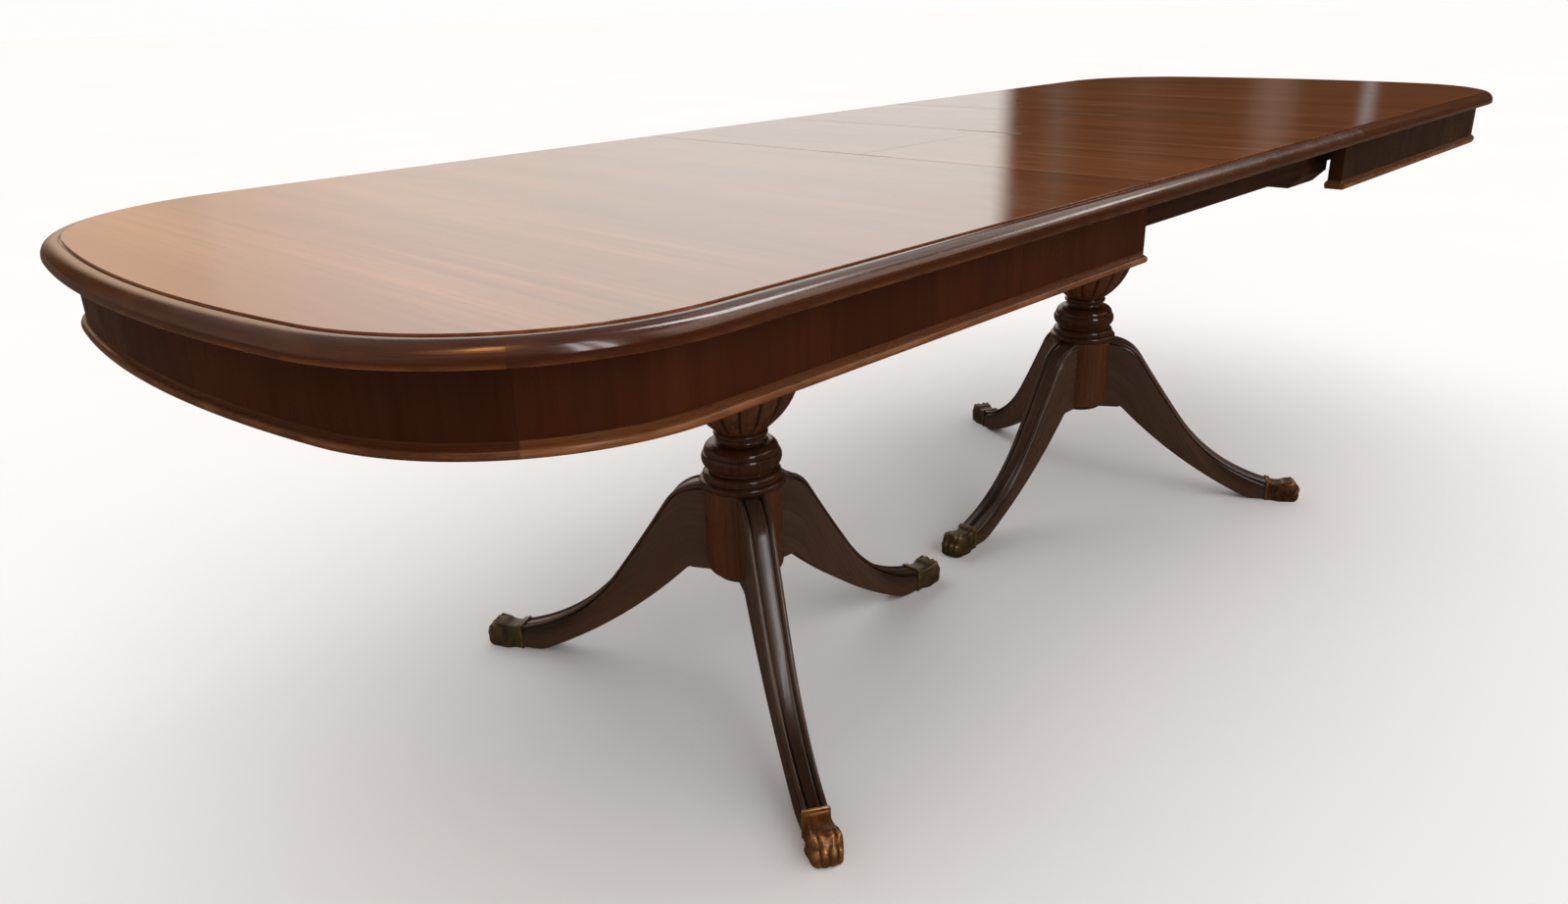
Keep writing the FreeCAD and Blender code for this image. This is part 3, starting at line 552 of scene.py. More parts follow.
@dataclass(frozen=True)
class FloorFinish(Finish):
    """A plain pale floor, which the polish mirrors darker than it is."""

    tones: tuple[Colour, Colour]
    in_polish: Colour
    rough: float = 0.85
    specular: float = 0.1

    def paint(self, board: NodeBoard) -> None:
        """Lays the floor's nodes out on a board.

        Args:
            board: The material's own board.
        """
        tone = board.noise(board.grain_place(Grain.ALONG_X, 0.0), (0.8, 0.8, 0.8), 5.0)
        colour = board.ramp(tone, ((0.3, self.tones[0]), (0.7, self.tones[1])))
        mirrored = board.add("ShaderNodeLightPath").outputs["Is Glossy Ray"]
        colour = board.blend(mirrored, colour, self.in_polish)
        board.surface(Base_Color=colour, Roughness=self.rough, Specular_IOR_Level=self.specular)


PANEL = WoodFinish("polished_panel", dark=(0.082, 0.0200, 0.0060), middle=(0.172, 0.0500, 0.0165),
                   light=(0.310, 0.1080, 0.0420), tint=(0.205, 0.0520, 0.0140), pore=(0.034, 0.010, 0.004),
                   worn=(0.30, 0.12, 0.05), grain=Grain.ALONG_Y, figure=(0.9, 11.0, 11.0),
                   streak=(2.0, 120.0, 120.0), smooth=0.085, rough=0.15, relief=0.06, coat=0.6)
LIPPING = WoodFinish("lipping_side_wood", dark=(0.026, 0.0062, 0.0019), middle=(0.046, 0.0110, 0.0032),
                     light=(0.074, 0.0200, 0.0058), tint=(0.055, 0.0124, 0.0030),
                     pore=(0.014, 0.005, 0.002), worn=(0.125, 0.040, 0.012), grain=Grain.ALONG_PIECE,
                     smooth=0.13, rough=0.22, specular=0.4, coat=0.4)
END_LIPPING = WoodFinish("lipping_end_wood", dark=(0.024, 0.0058, 0.0015), middle=(0.044, 0.0108, 0.0026),
                         light=(0.078, 0.0215, 0.0052), tint=(0.058, 0.0132, 0.0029),
                         pore=(0.012, 0.004, 0.002), worn=(0.145, 0.047, 0.013), grain=Grain.ALONG_PIECE,
                         smooth=0.13, rough=0.22, specular=0.4, coat=0.4, seed=3.1)
LEAF_LIPPING = replace(LIPPING, name="lipping_leaf_wood", dark=(0.018, 0.0052, 0.0020),
                       middle=(0.032, 0.0090, 0.0032), light=(0.054, 0.0160, 0.0056),
                       tint=(0.036, 0.0096, 0.0030), smooth=0.20, rough=0.30, seed=4.4)
APRON = WoodFinish("apron_veneer", dark=(0.032, 0.0074, 0.0018), middle=(0.042, 0.0100, 0.0024),
                   light=(0.056, 0.0140, 0.0034), tint=(0.052, 0.0112, 0.0024), pore=(0.026, 0.006, 0.002),
                   worn=(0.10, 0.03, 0.01), grain=Grain.ALONG_Z, figure=(2.2, 9.0, 9.0),
                   streak=(5.0, 90.0, 90.0), pores=(14.0, 240.0, 240.0), pore_depth=0.08, smooth=0.26,
                   rough=0.38, specular=0.10, relief=0.02, swirl=0.1, seed=5.7)
# A darker copy of the apron wood for the near end: painted shade.
SHADED_END_APRON = replace(APRON, name="apron_end_veneer_painted_shade", dark=(0.028, 0.0066, 0.0016),
                    middle=(0.037, 0.0089, 0.0021), light=(0.049, 0.0124, 0.0030),
                    tint=(0.046, 0.0099, 0.0021), seed=6.4)
# A darker, more olive copy for the far half: painted shade and a painted reflection.
SHADED_FAR_APRON = replace(APRON, name="apron_far_veneer_painted_shade", dark=(0.018, 0.0062, 0.0014),
                    middle=(0.024, 0.0086, 0.0020), light=(0.033, 0.0122, 0.0028),
                    tint=(0.028, 0.0092, 0.0019), seed=7.2)
# The bead wood in two copies: darker on the end as painted shade, lighter on the sides as painted light.
SHADED_END_BEAD = WoodFinish("bead_end_wood_painted_shade", dark=(0.038, 0.0100, 0.0026), middle=(0.062, 0.0180, 0.0047),
                  light=(0.098, 0.0320, 0.0090), tint=(0.076, 0.0205, 0.0046), pore=(0.026, 0.007, 0.002),
                  worn=(0.16, 0.062, 0.022), grain=Grain.ALONG_PIECE, smooth=0.18, rough=0.32,
                  specular=0.25, seed=8.3)
LIT_SIDE_BEAD = replace(SHADED_END_BEAD, name="bead_side_wood_painted_light", dark=(0.070, 0.0200, 0.0054),
                    middle=(0.118, 0.0370, 0.0105), light=(0.180, 0.0630, 0.0200),
                    worn=(0.26, 0.105, 0.040), seed=9.6)
TURNED = WoodFinish("turned_wood", dark=(0.036, 0.0132, 0.0052), middle=(0.062, 0.0230, 0.0086),
                    light=(0.094, 0.0365, 0.0138), tint=(0.084, 0.0255, 0.0080), pore=(0.009, 0.004, 0.002),
                    worn=(0.090, 0.040, 0.017), grain=Grain.ALONG_Z, figure=(2.4, 26.0, 26.0), smooth=0.14,
                    rough=0.28, specular=0.35, coat=0.2, seed=11.9)
LEG = WoodFinish("leg_wood", dark=(0.042, 0.0215, 0.0125), middle=(0.056, 0.0300, 0.0178),
                 light=(0.074, 0.0400, 0.0242), tint=(0.066, 0.0320, 0.0172), pore=(0.010, 0.005, 0.003),
                 worn=(0.095, 0.053, 0.032), grain=Grain.ALONG_PIECE, figure=(1.6, 14.0, 14.0),
                 pore_depth=0.12, smooth=0.17, rough=0.27, specular=0.35, coat=0.2, relief=0.06, seed=14.2)
RUNNER = WoodFinish("runner_wood", dark=(0.018, 0.0062, 0.0024), middle=(0.030, 0.0105, 0.0038),
                    light=(0.048, 0.0180, 0.0068), tint=(0.038, 0.0112, 0.0034), pore=(0.010, 0.004, 0.002),
                    worn=(0.08, 0.034, 0.014), grain=Grain.ALONG_X, smooth=0.40, rough=0.58, specular=0.08,
                    seed=17.5)
BEARER = WoodFinish("bearer_wood", dark=(0.026, 0.0100, 0.0040), middle=(0.044, 0.0170, 0.0066),
                    light=(0.068, 0.0280, 0.0115), tint=(0.050, 0.0165, 0.0056), pore=(0.012, 0.006, 0.003),
                    worn=(0.09, 0.04, 0.017), grain=Grain.ALONG_Y, smooth=0.40, rough=0.60, specular=0.12,
                    seed=20.4)
PAW_BRASS = MetalFinish("antique_paw_brass", patina=(0.058, 0.039, 0.015), body=(0.118, 0.075, 0.026),
                        bright=(0.30, 0.190, 0.078), metallic=0.55, smooth=0.26, rough=0.48)
FRONT_PAW_BRASS = MetalFinish("rubbed_paw_brass", patina=(0.150, 0.058, 0.017), body=(0.285, 0.112, 0.031),
                              bright=(0.66, 0.34, 0.130), metallic=0.55, smooth=0.13, rough=0.32,
                              grime=(0.045, 0.017, 0.005), seed=1.3)
FAR_PAW_BRASS = replace(FRONT_PAW_BRASS, name="dulled_paw_brass", patina=(0.058, 0.024, 0.008),
                        body=(0.130, 0.053, 0.017), bright=(0.36, 0.175, 0.065), rough=0.40, seed=1.9)
HINGE_BRASS = MetalFinish("aged_hinge_brass", patina=(0.14, 0.095, 0.040), body=(0.36, 0.25, 0.105),
                          bright=(0.62, 0.46, 0.21), metallic=0.95, smooth=0.24, rough=0.46, seed=2.0)
IRON = MetalFinish("blacked_iron", patina=(0.012, 0.011, 0.010), body=(0.030, 0.028, 0.026),
                   bright=(0.090, 0.085, 0.080), metallic=0.8, smooth=0.34, rough=0.58, seed=4.0)
FLOOR = FloorFinish("pale_floor", tones=((0.860, 0.856, 0.852), (0.885, 0.881, 0.877)),
                    in_polish=(0.085, 0.056, 0.038))
NODE_FINISHES = {"near_end_apron": SHADED_END_APRON, "far_end_apron": SHADED_FAR_APRON, "far_front_apron": SHADED_FAR_APRON,
                 "far_back_apron": SHADED_FAR_APRON, "apron": APRON, "runner": RUNNER, "bearer": BEARER,
                 "block": BEARER, "spider_plate": IRON, "hinge_plates": HINGE_BRASS, "panel": PANEL}
PAW_FINISHES = {"near_paw_front": FRONT_PAW_BRASS, "far_paw_front": FAR_PAW_BRASS}


# The edge of the top

@dataclass(frozen=True)
class PathPoint:
    """A point of the top's outer line with the way that faces outward there."""

    place: Point
    outward: Point


@dataclass
class TopEdge:
    """The moulded lipping and the bead under the apron of one D-ended half."""

    half: str
    corner_radius: float = 0.266
    bow_radius: float = 1.450
    joint_turn: float = math.radians(51.5)
    corner_steps: int = 14
    bow_steps: int = 22
    side_steps: int = 10
    nose_depth: float = 0.0185
    nose_drop: float = 0.0150
    arris: float = 0.0013
    quirk_width: float = 0.0020
    quirk_depth: float = 0.0024
    bead_inset: float = 0.0208
    bead_width: float = 0.033
    bead_roll: float = 0.0092
    bead_ease: float = 0.0008
    bead_foot_ease: float = 0.002
    bead_back_slope: float = 0.005
    fillet_wear: float = -0.25
    apron_inset: float = 0.0270

    def __post_init__(self) -> None:
        """Takes the half's place and reach from the frame, and works out where its corners are."""
        low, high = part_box(f"{self.half}_front_lipping")
        self.facing = HALVES[self.half]
        self.half_width = -low.y
        self.seam = min(abs(low.x), abs(high.x))
        self.end = max(abs(corner.x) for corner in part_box(f"{self.half}_end_lipping"))
        self.corner_y = self.half_width - self.corner_radius
        self.bow_centre = self.end - self.bow_radius
        self.bow_turn = math.asin(self.corner_y / (self.bow_radius - self.corner_radius))
        self.corner_x = self.bow_centre + (self.bow_radius - self.corner_radius) * math.cos(self.bow_turn)

    def arc(self, centre: Point, radius: float, first: float, last: float, steps: int) -> list[PathPoint]:
        """Draws a stretch of the outer line that is part of a circle.

        Args:
            centre: The circle's centre, measured toward the half's own end.
            radius: The circle's radius.
            first: The angle that it starts at.
            last: The angle that it ends at.
            steps: Stretches that it is drawn with.

        Returns:
            The points in the table's frame.
        """
        path = []
        for step in range(steps + 1):
            angle = first + (last - first) * step / steps
            out = (math.cos(angle), math.sin(angle))
            place = (centre[0] + radius * out[0], centre[1] + radius * out[1])
            path.append(PathPoint((self.facing * place[0], place[1]), (self.facing * out[0], out[1])))
        return path

    def end_path(self) -> list[PathPoint]:
        """Draws the outer line round the D end.

        Returns:
            The points from the front joint to the back one.
        """
        front, back = (self.corner_x, -self.corner_y), (self.corner_x, self.corner_y)
        joint, bow = self.joint_turn, self.bow_turn
        path = self.arc(front, self.corner_radius, -joint, -bow, self.corner_steps)
        path += self.arc((self.bow_centre, 0.0), self.bow_radius, -bow, bow, self.bow_steps)[1:]
        return path + self.arc(back, self.corner_radius, bow, joint, self.corner_steps)[1:]

    def side_path(self, side: float) -> list[PathPoint]:
        """Draws the outer line of a side.

        Args:
            side: Which side, -1 at the front and 1 at the back.

        Returns:
            The points from the seam along the table and round the corner to the joint.
        """
        first, last = self.facing * self.seam, self.facing * self.corner_x
        path = straight_path(first, last, side * self.half_width, side, self.side_steps)
        centre = (self.corner_x, side * self.corner_y)
        turns = side * math.pi / 2, side * self.joint_turn
        return path + self.arc(centre, self.corner_radius, *turns, self.corner_steps)[1:]

    def build(self) -> None:
        """Makes the lipping and the bead, on the end and on both sides."""
        body = f"{self.half}_half"
        for piece, drawing in (("lipping", self.lipping_profile()), ("bead", self.bead_profile())):
            slot = f"{piece}_mahogany"
            node = f"{self.half}_end_{piece}"
            wood = END_LIPPING if piece == "lipping" else SHADED_END_BEAD
            strip = sweep(f"{node}_moulding", self.end_path(), drawing)
            place_piece(strip, body, slot, wood.material(), node)
            for side_name, side in SIDES.items():
                node = f"{self.half}_{side_name}_{piece}"
                wood = LIPPING if piece == "lipping" else LIT_SIDE_BEAD
                strip = sweep(f"{node}_moulding", self.side_path(side), drawing)
                place_piece(strip, body, slot, wood.material(), node)

    def lipping_profile(self) -> list[Triple]:
        """Draws the lipping's section: a thumb moulding with a quirk beside the panel.

        Returns:
            Points as inset, height and wear, with painted shade in the quirk.
        """
        low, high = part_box(f"{self.half}_front_lipping")
        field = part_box(f"{self.half}_top_panel")[1].y
        return lipping_section(low.z, high.z, self.half_width - field, self)

    def bead_profile(self) -> list[Triple]:
        """Draws the bead's section: a roll along the foot of a fillet that is flush with the apron.

        Returns:
            Points as inset, height and wear.
        """
        low, high = (corner.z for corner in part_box(f"{self.half}_front_bead"))
        outer, inner = self.bead_inset, self.bead_inset + self.bead_width
        roll, apron, ease = self.bead_roll, self.apron_inset, self.bead_ease
        drawing = Outline(inner - self.bead_foot_ease, low)
        drawing.line(outer + roll * 0.42, low)
        drawing.arc(outer, low + roll * 0.44, -0.20, 6)
        drawing.arc(outer + roll * 0.40, low + roll * 0.96, -0.22, 6)
        drawing.line(apron - ease, low + roll)
        drawing.line(apron, low + roll + ease)
        drawing.line(apron, high)
        drawing.line(inner - self.bead_back_slope, high)
        drawing.arc(inner, low + roll * 0.7, -0.10, 4)
        crown = low + roll * 0.62
        section = []
        for x, z in drawing.points:
            worn = max(0.0, 1 - abs(z - crown) / roll * 2.2) if x < apron else 0.0
            section.append((x, z, self.fillet_wear if z > low + roll * 0.99 else worn))
        return section


def lipping_section(low: float, high: float, width: float, sizes: TopEdge) -> list[Triple]:
    """The section of a lipping strip.

    Args:
        low: Height of its underside.
        high: Height of its top.
        width: How far it reaches in from the edge.
        sizes: The edge whose nose, arris and quirk it has.

    Returns:
        Points as inset, height and wear.
    """
    quirk = width - sizes.quirk_width
    drawing = Outline(width, low)
    drawing.line(sizes.arris * 1.6, low)
    drawing.arc(0.0, low + sizes.arris * 1.6, -0.2, 3)
    drawing.line(0.0, high - sizes.nose_drop)
    drawing.arc(sizes.nose_depth, high, -0.21, 12)
    drawing.line(quirk - sizes.arris, high)
    drawing.arc(quirk, high - sizes.quirk_depth, -0.15, 3)
    drawing.line(width, high - sizes.quirk_depth)
    # The lower arris and the nose are worn; the floor of the quirk is darkened as painted shade.
    lower_edge, painted_quirk_shade = {2: 1.0, 3: 1.0, 4: 0.7}, {20: -0.5, 21: -1.0, 22: -1.0}
    nose = dict.fromkeys(range(7, 14), 0.25)
    worn = {**lower_edge, **nose, **painted_quirk_shade}
    return [(x, z, worn.get(index, 0.0)) for index, (x, z) in enumerate(drawing.points)]


def straight_path(first: float, last: float, across: float, side: float, steps: int) -> list[PathPoint]:
    """A straight line along the table at one place across it."""
    places = (first + (last - first) * step / steps for step in range(steps + 1))
    return [PathPoint((along, across), (0.0, side)) for along in places]


def sweep(name: str, path: Sequence[PathPoint], section: Sequence[Triple]) -> bpy.types.Object:
    """Runs a section along the top's outer line.

    Args:
        name: The piece's name.
        path: The line to follow.
        section: Points as inset from the line, height and the value of the wear_and_shade attribute.

    Returns:
        The new object.
    """
    rings = []
    for point in path:
        (x, y), (out_x, out_y) = point.place, point.outward
        rings.append([Vector((x - out_x * inset, y - out_y * inset, height)) for inset, height, _ in section])
    return Loft(rings, [[worn for _, _, worn in section] for _ in path]).build(name)


@dataclass
class LeafEdge:
    """The moulded ends of a folding leaf, one on the panel that stays and one on the flap."""

    leaf: str
    edge: TopEdge

    def build(self) -> None:
        """Makes both lipping strips."""
        for part, side in (("fixed", 1.0), ("flap", -1.0)):
            node = f"{self.leaf}_{part}_lipping"
            low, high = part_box(node)
            section = lipping_section(low.z, high.z, high.y - low.y, self.edge)
            path = straight_path(low.x, high.x, side * self.edge.half_width, side, self.edge.side_steps)
            place_piece(sweep(f"{node}_moulding", path, section), f"{self.leaf}_{part}", "lipping_mahogany",
                        LEAF_LIPPING.material(), node)


# The pedestals

@dataclass
class TurnedColumn:
    """A column turned with a drum, collar, knop, ring and a reeded urn."""

    pedestal: str
    drum_radius: float = 0.057
    drum_round: float = 0.014
    reeds: int = 16
    steps_in_reed: int = 14
    reed_depth: float = 0.068
    stained: tuple[float, float] = (0.3262, 0.4110)
    stain: float = 0.6
    proud_enough: float = 0.002
    urn_foot: float = 0.4105
    urn_top: float = 0.5200

    def __post_init__(self) -> None:
        """Takes the column's axis and foot from the frame."""
        low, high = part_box(f"{self.pedestal}_column")
        self.axis = Vector(((low.x + high.x) / 2, (low.y + high.y) / 2, 0.0))
        self.foot, self.head = low.z, high.z

    def profile(self) -> list[Point]:
        """Draws the column's side.

        Returns:
            Radius and height, from the foot up.
        """
        line = Outline(self.drum_radius - self.drum_round, self.foot)
        line.arc(self.drum_radius, self.foot + self.drum_round, 0.2071, 6).line(self.drum_radius, 0.2560)
        line.line(self.drum_radius, 0.3240).line(0.0585, 0.3245)
        line.arc(0.0600, 0.3375, 0.33, 10).line(0.0580, 0.3380).line(0.0577, 0.3397)
        line.arc(0.0508, 0.3500, 0.20, 8).line(0.0500, 0.3503).line(0.0497, 0.3532)
        line.arc(0.0565, 0.3760, 0.21, 10).line(0.0550, 0.3765).line(0.0546, 0.3782)
        line.arc(0.0430, 0.3915, 0.17, 8).arc(0.0348, 0.3968, -0.18, 5).line(0.0345, 0.4000)
        line.line(0.0356, 0.4005).arc(0.0362, 0.4090, 0.44, 8).line(0.0360, 0.4097)
        line.line(0.0370, self.urn_foot).arc(0.0900, self.urn_top, 0.13, 30)
        line.line(0.0935, 0.5203).arc(0.0950, 0.5380, 0.30, 8).line(0.0840, 0.5383).line(0.0820, 0.5395)
        line.arc(0.0460, 0.5740, -0.16, 8).line(0.0460, 0.6215).line(0.0260, 0.6218)
        line.line(0.0260, self.head)
        return line.points

    def ring(self, radius: float, height: float, proud: float) -> tuple[list[Vector], list[float]]:
        """One ring of points and its wear, cut into reeds where it lies on the urn.

        Args:
            radius: The ring's radius.
            height: The ring's height.
            proud: How far it stands out from its neighbours.

        Returns:
            The points, and their wear and shade: rubbed above zero; below zero, stained on the knop and collar,
                and painted shade in the reed grooves.
        """
        up = (height - self.urn_foot) / (self.urn_top - self.urn_foot)
        cut = smooth_step(0.0, 0.05, up) * smooth_step(1.0, 0.95, up) if 0 <= up <= 1 else 0.0
        rubbed = min(max(proud / self.proud_enough, 0.0), 1.0) * 0.8
        if self.stained[0] < height < self.stained[1]:
            rubbed = -self.stain
        count = self.reeds * self.steps_in_reed
        points, wear_and_shade = [], []
        for step in range(count):
            across = abs(2 * (step % self.steps_in_reed) / self.steps_in_reed - 1)
            reach = radius * (1 - self.reed_depth * cut * (1 - math.sqrt(1 - 0.985 * across * across)))
            angle = FULL_TURN * step / count
            points.append(self.axis + Vector((reach * math.cos(angle), reach * math.sin(angle), height)))
            # Painted shade darkens each reed's groove toward the pore colour.
            wear_and_shade.append(rubbed - (rubbed + 1) * cut * smooth_step(0.70, 1.0, across))
        return points, wear_and_shade

    def build(self) -> None:
        """Makes the column in place of its plain node."""
        profile = self.profile()
        made = []
        for index, (radius, height) in enumerate(profile):
            near = profile[max(0, index - 3):index + 4]
            made.append(self.ring(radius, height, radius - sum(r for r, _ in near) / len(near)))
        node = f"{self.pedestal}_column"
        rings, wear_and_shade = map(list, zip(*made))
        piece = Loft(rings, wear_and_shade, 30.0).build(f"{node}_turning")
        place_piece(piece, "base", "turned_mahogany", TURNED.material(), node)


@dataclass
class SabreLeg:
    """A sabre leg with a return bead along each upper edge and a flat band between them."""

    pedestal: str
    name: str
    axis: Vector
    turn: float
    root: float = 0.044
    drum_radius: float = 0.057
    drum_top: float = 0.3250
    drum_bottom: float = 0.187
    shoulder: Point = (0.118, 0.290)
    knee: Point = (0.205, 0.163)
    flat_end: float = 0.085
    ankle: Point = (0.335, 0.0085)
    heel: Point = (0.3633, 0.002)
    cuff: Point = (0.388, 0.0385)
    width: float = 0.042
    cuff_width: float = 0.034
    stations: int = 72
    bead_radius: float = 0.0038
    bead_steps: int = 10
    groove_gap: float = 0.0008
    groove_half: float = 0.0004
    groove_depth: float = 0.0036
    band_drop: float = 0.0011
    band_edge: float = 0.0026
    band_round: float = 0.0009
    band_ease: float = 0.0005
    band_crown: float = 0.0004
    arris: float = 0.0016
    foot_painted_shade: float = 0.8
    foot_shade_reach: Point = (0.22, 0.32)

    def side_lines(self) -> tuple[Outline, Outline]:
        """Draws the leg from the side.

        Returns:
            Its upper and its lower line, as reach from the axis and height.
        """
        upper = Outline(self.root, self.drum_top).line(self.drum_radius, self.drum_top)
        upper.arc(*self.shoulder, -0.125, 14).arc(*self.knee, 0.006, 12).arc(*self.cuff, 0.09, 30)
        lower = Outline(self.root, self.drum_bottom).line(self.flat_end, self.drum_bottom)
        lower.arc(*self.ankle, 0.042, 34).arc(*self.heel, 0.0567, 8).line(self.cuff[0], self.heel[1])
        return upper, lower

    def half_width_at(self, reach: float) -> float:
        """Tapers the leg from the drum to the cuff.

        Args:
            reach: Distance from the column's axis.

        Returns:
            Half the leg's width there.
        """
        share = smooth_step(-1.0, 2.0, (reach - self.drum_radius) / (self.cuff[0] - self.drum_radius))
        first, last = smooth_step(-1.0, 2.0, 0.0), smooth_step(-1.0, 2.0, 1.0)
        share = min(max((share - first) / (last - first), 0.0), 1.0)
        return (self.width + (self.cuff_width - self.width) * share) / 2

    def half_section(self, half: float, height: float) -> list[Triple]:
        """Draws one side of the leg's section: flat side, groove, bead, second groove and half the band.

        Args:
            half: Half the leg's width.
            height: The leg's depth from the sole to the top.

        Returns:
            Points across, up and with their wear and painted shade, from the middle of the sole to the middle
            of the band.
        """
        bead, arris = self.bead_radius, self.arris
        # The quirks beside the bead and the groove inside it are darkened as painted shade; the arrises and the
        # bead's crown are worn.
        points = [(0.0, 0.0, 0.0), (half - arris, 0.0, 0.3), (half - arris * 0.3, arris * 0.3, 0.8),
                  (half, arris, 0.3), (half, height * 0.45, 0.0), (half, height - bead * 2.7, 0.0),
                  (half - self.band_drop, height - bead * 2.4, -0.9)]
        for step in range(self.bead_steps + 1):
            degrees = -62 + 215 * step / self.bead_steps
            proud = smooth_step(10, 60, degrees) * smooth_step(150, 90, degrees)
            worn = -0.9 if step in (0, self.bead_steps) else 0.55 * proud
            angle = math.radians(degrees)
            across, up = bead * math.cos(angle), bead * math.sin(angle)
            points.append((half - bead + across, height - bead + up, worn))
        groove = half - 2 * bead - self.groove_gap
        band, edge = height - self.band_drop, groove - self.band_edge
        points += [(groove - self.groove_half, height - self.groove_depth, -1.0),
                   (edge + self.band_round, band - self.band_ease, -0.1), (edge, band, 0.1),
                   (edge / 2, band + self.band_crown * 0.75, 0.0), (0.0, band + self.band_crown, 0.0)]
        return points

    def build(self) -> None:
        """Makes the leg in place of its plain node."""
        upper, lower = self.side_lines()
        out = Vector((math.cos(self.turn), math.sin(self.turn), 0.0))
        across = Vector((-out.y, out.x, 0.0))
        rings, wear_and_shade = [], []
        for station in range(self.stations + 1):
            top, sole = upper.at(station / self.stations), lower.at(station / self.stations)
            height = (top - sole).length
            rise = (top - sole).normalized()
            section = self.half_section(self.half_width_at(top.x), height)
            # Painted shade: the leg darkens toward the foot, fully on the band and less on the sides.
            stain = self.foot_painted_shade * smooth_step(*self.foot_shade_reach, top.x)
            mirrored = [(-y, h, worn) for y, h, worn in section[-2:0:-1]]
            moulded = height - 3 * self.bead_radius
            rings.append([])
            wear_and_shade.append([])
            for y, h, worn in [*section, *mirrored]:
                place = sole + rise * h
                rings[-1].append(self.axis + out * place.x + across * y + Vector((0.0, 0.0, place.y)))
                wear_and_shade[-1].append(worn - stain * (1.0 if h > moulded else 0.3))
        node = f"{self.pedestal}_leg_{self.name}"
        piece = Loft(rings, wear_and_shade, 34.0).build(f"{node}_moulded")
        place_piece(piece, "base", "dark_mahogany", LEG.material(), node)


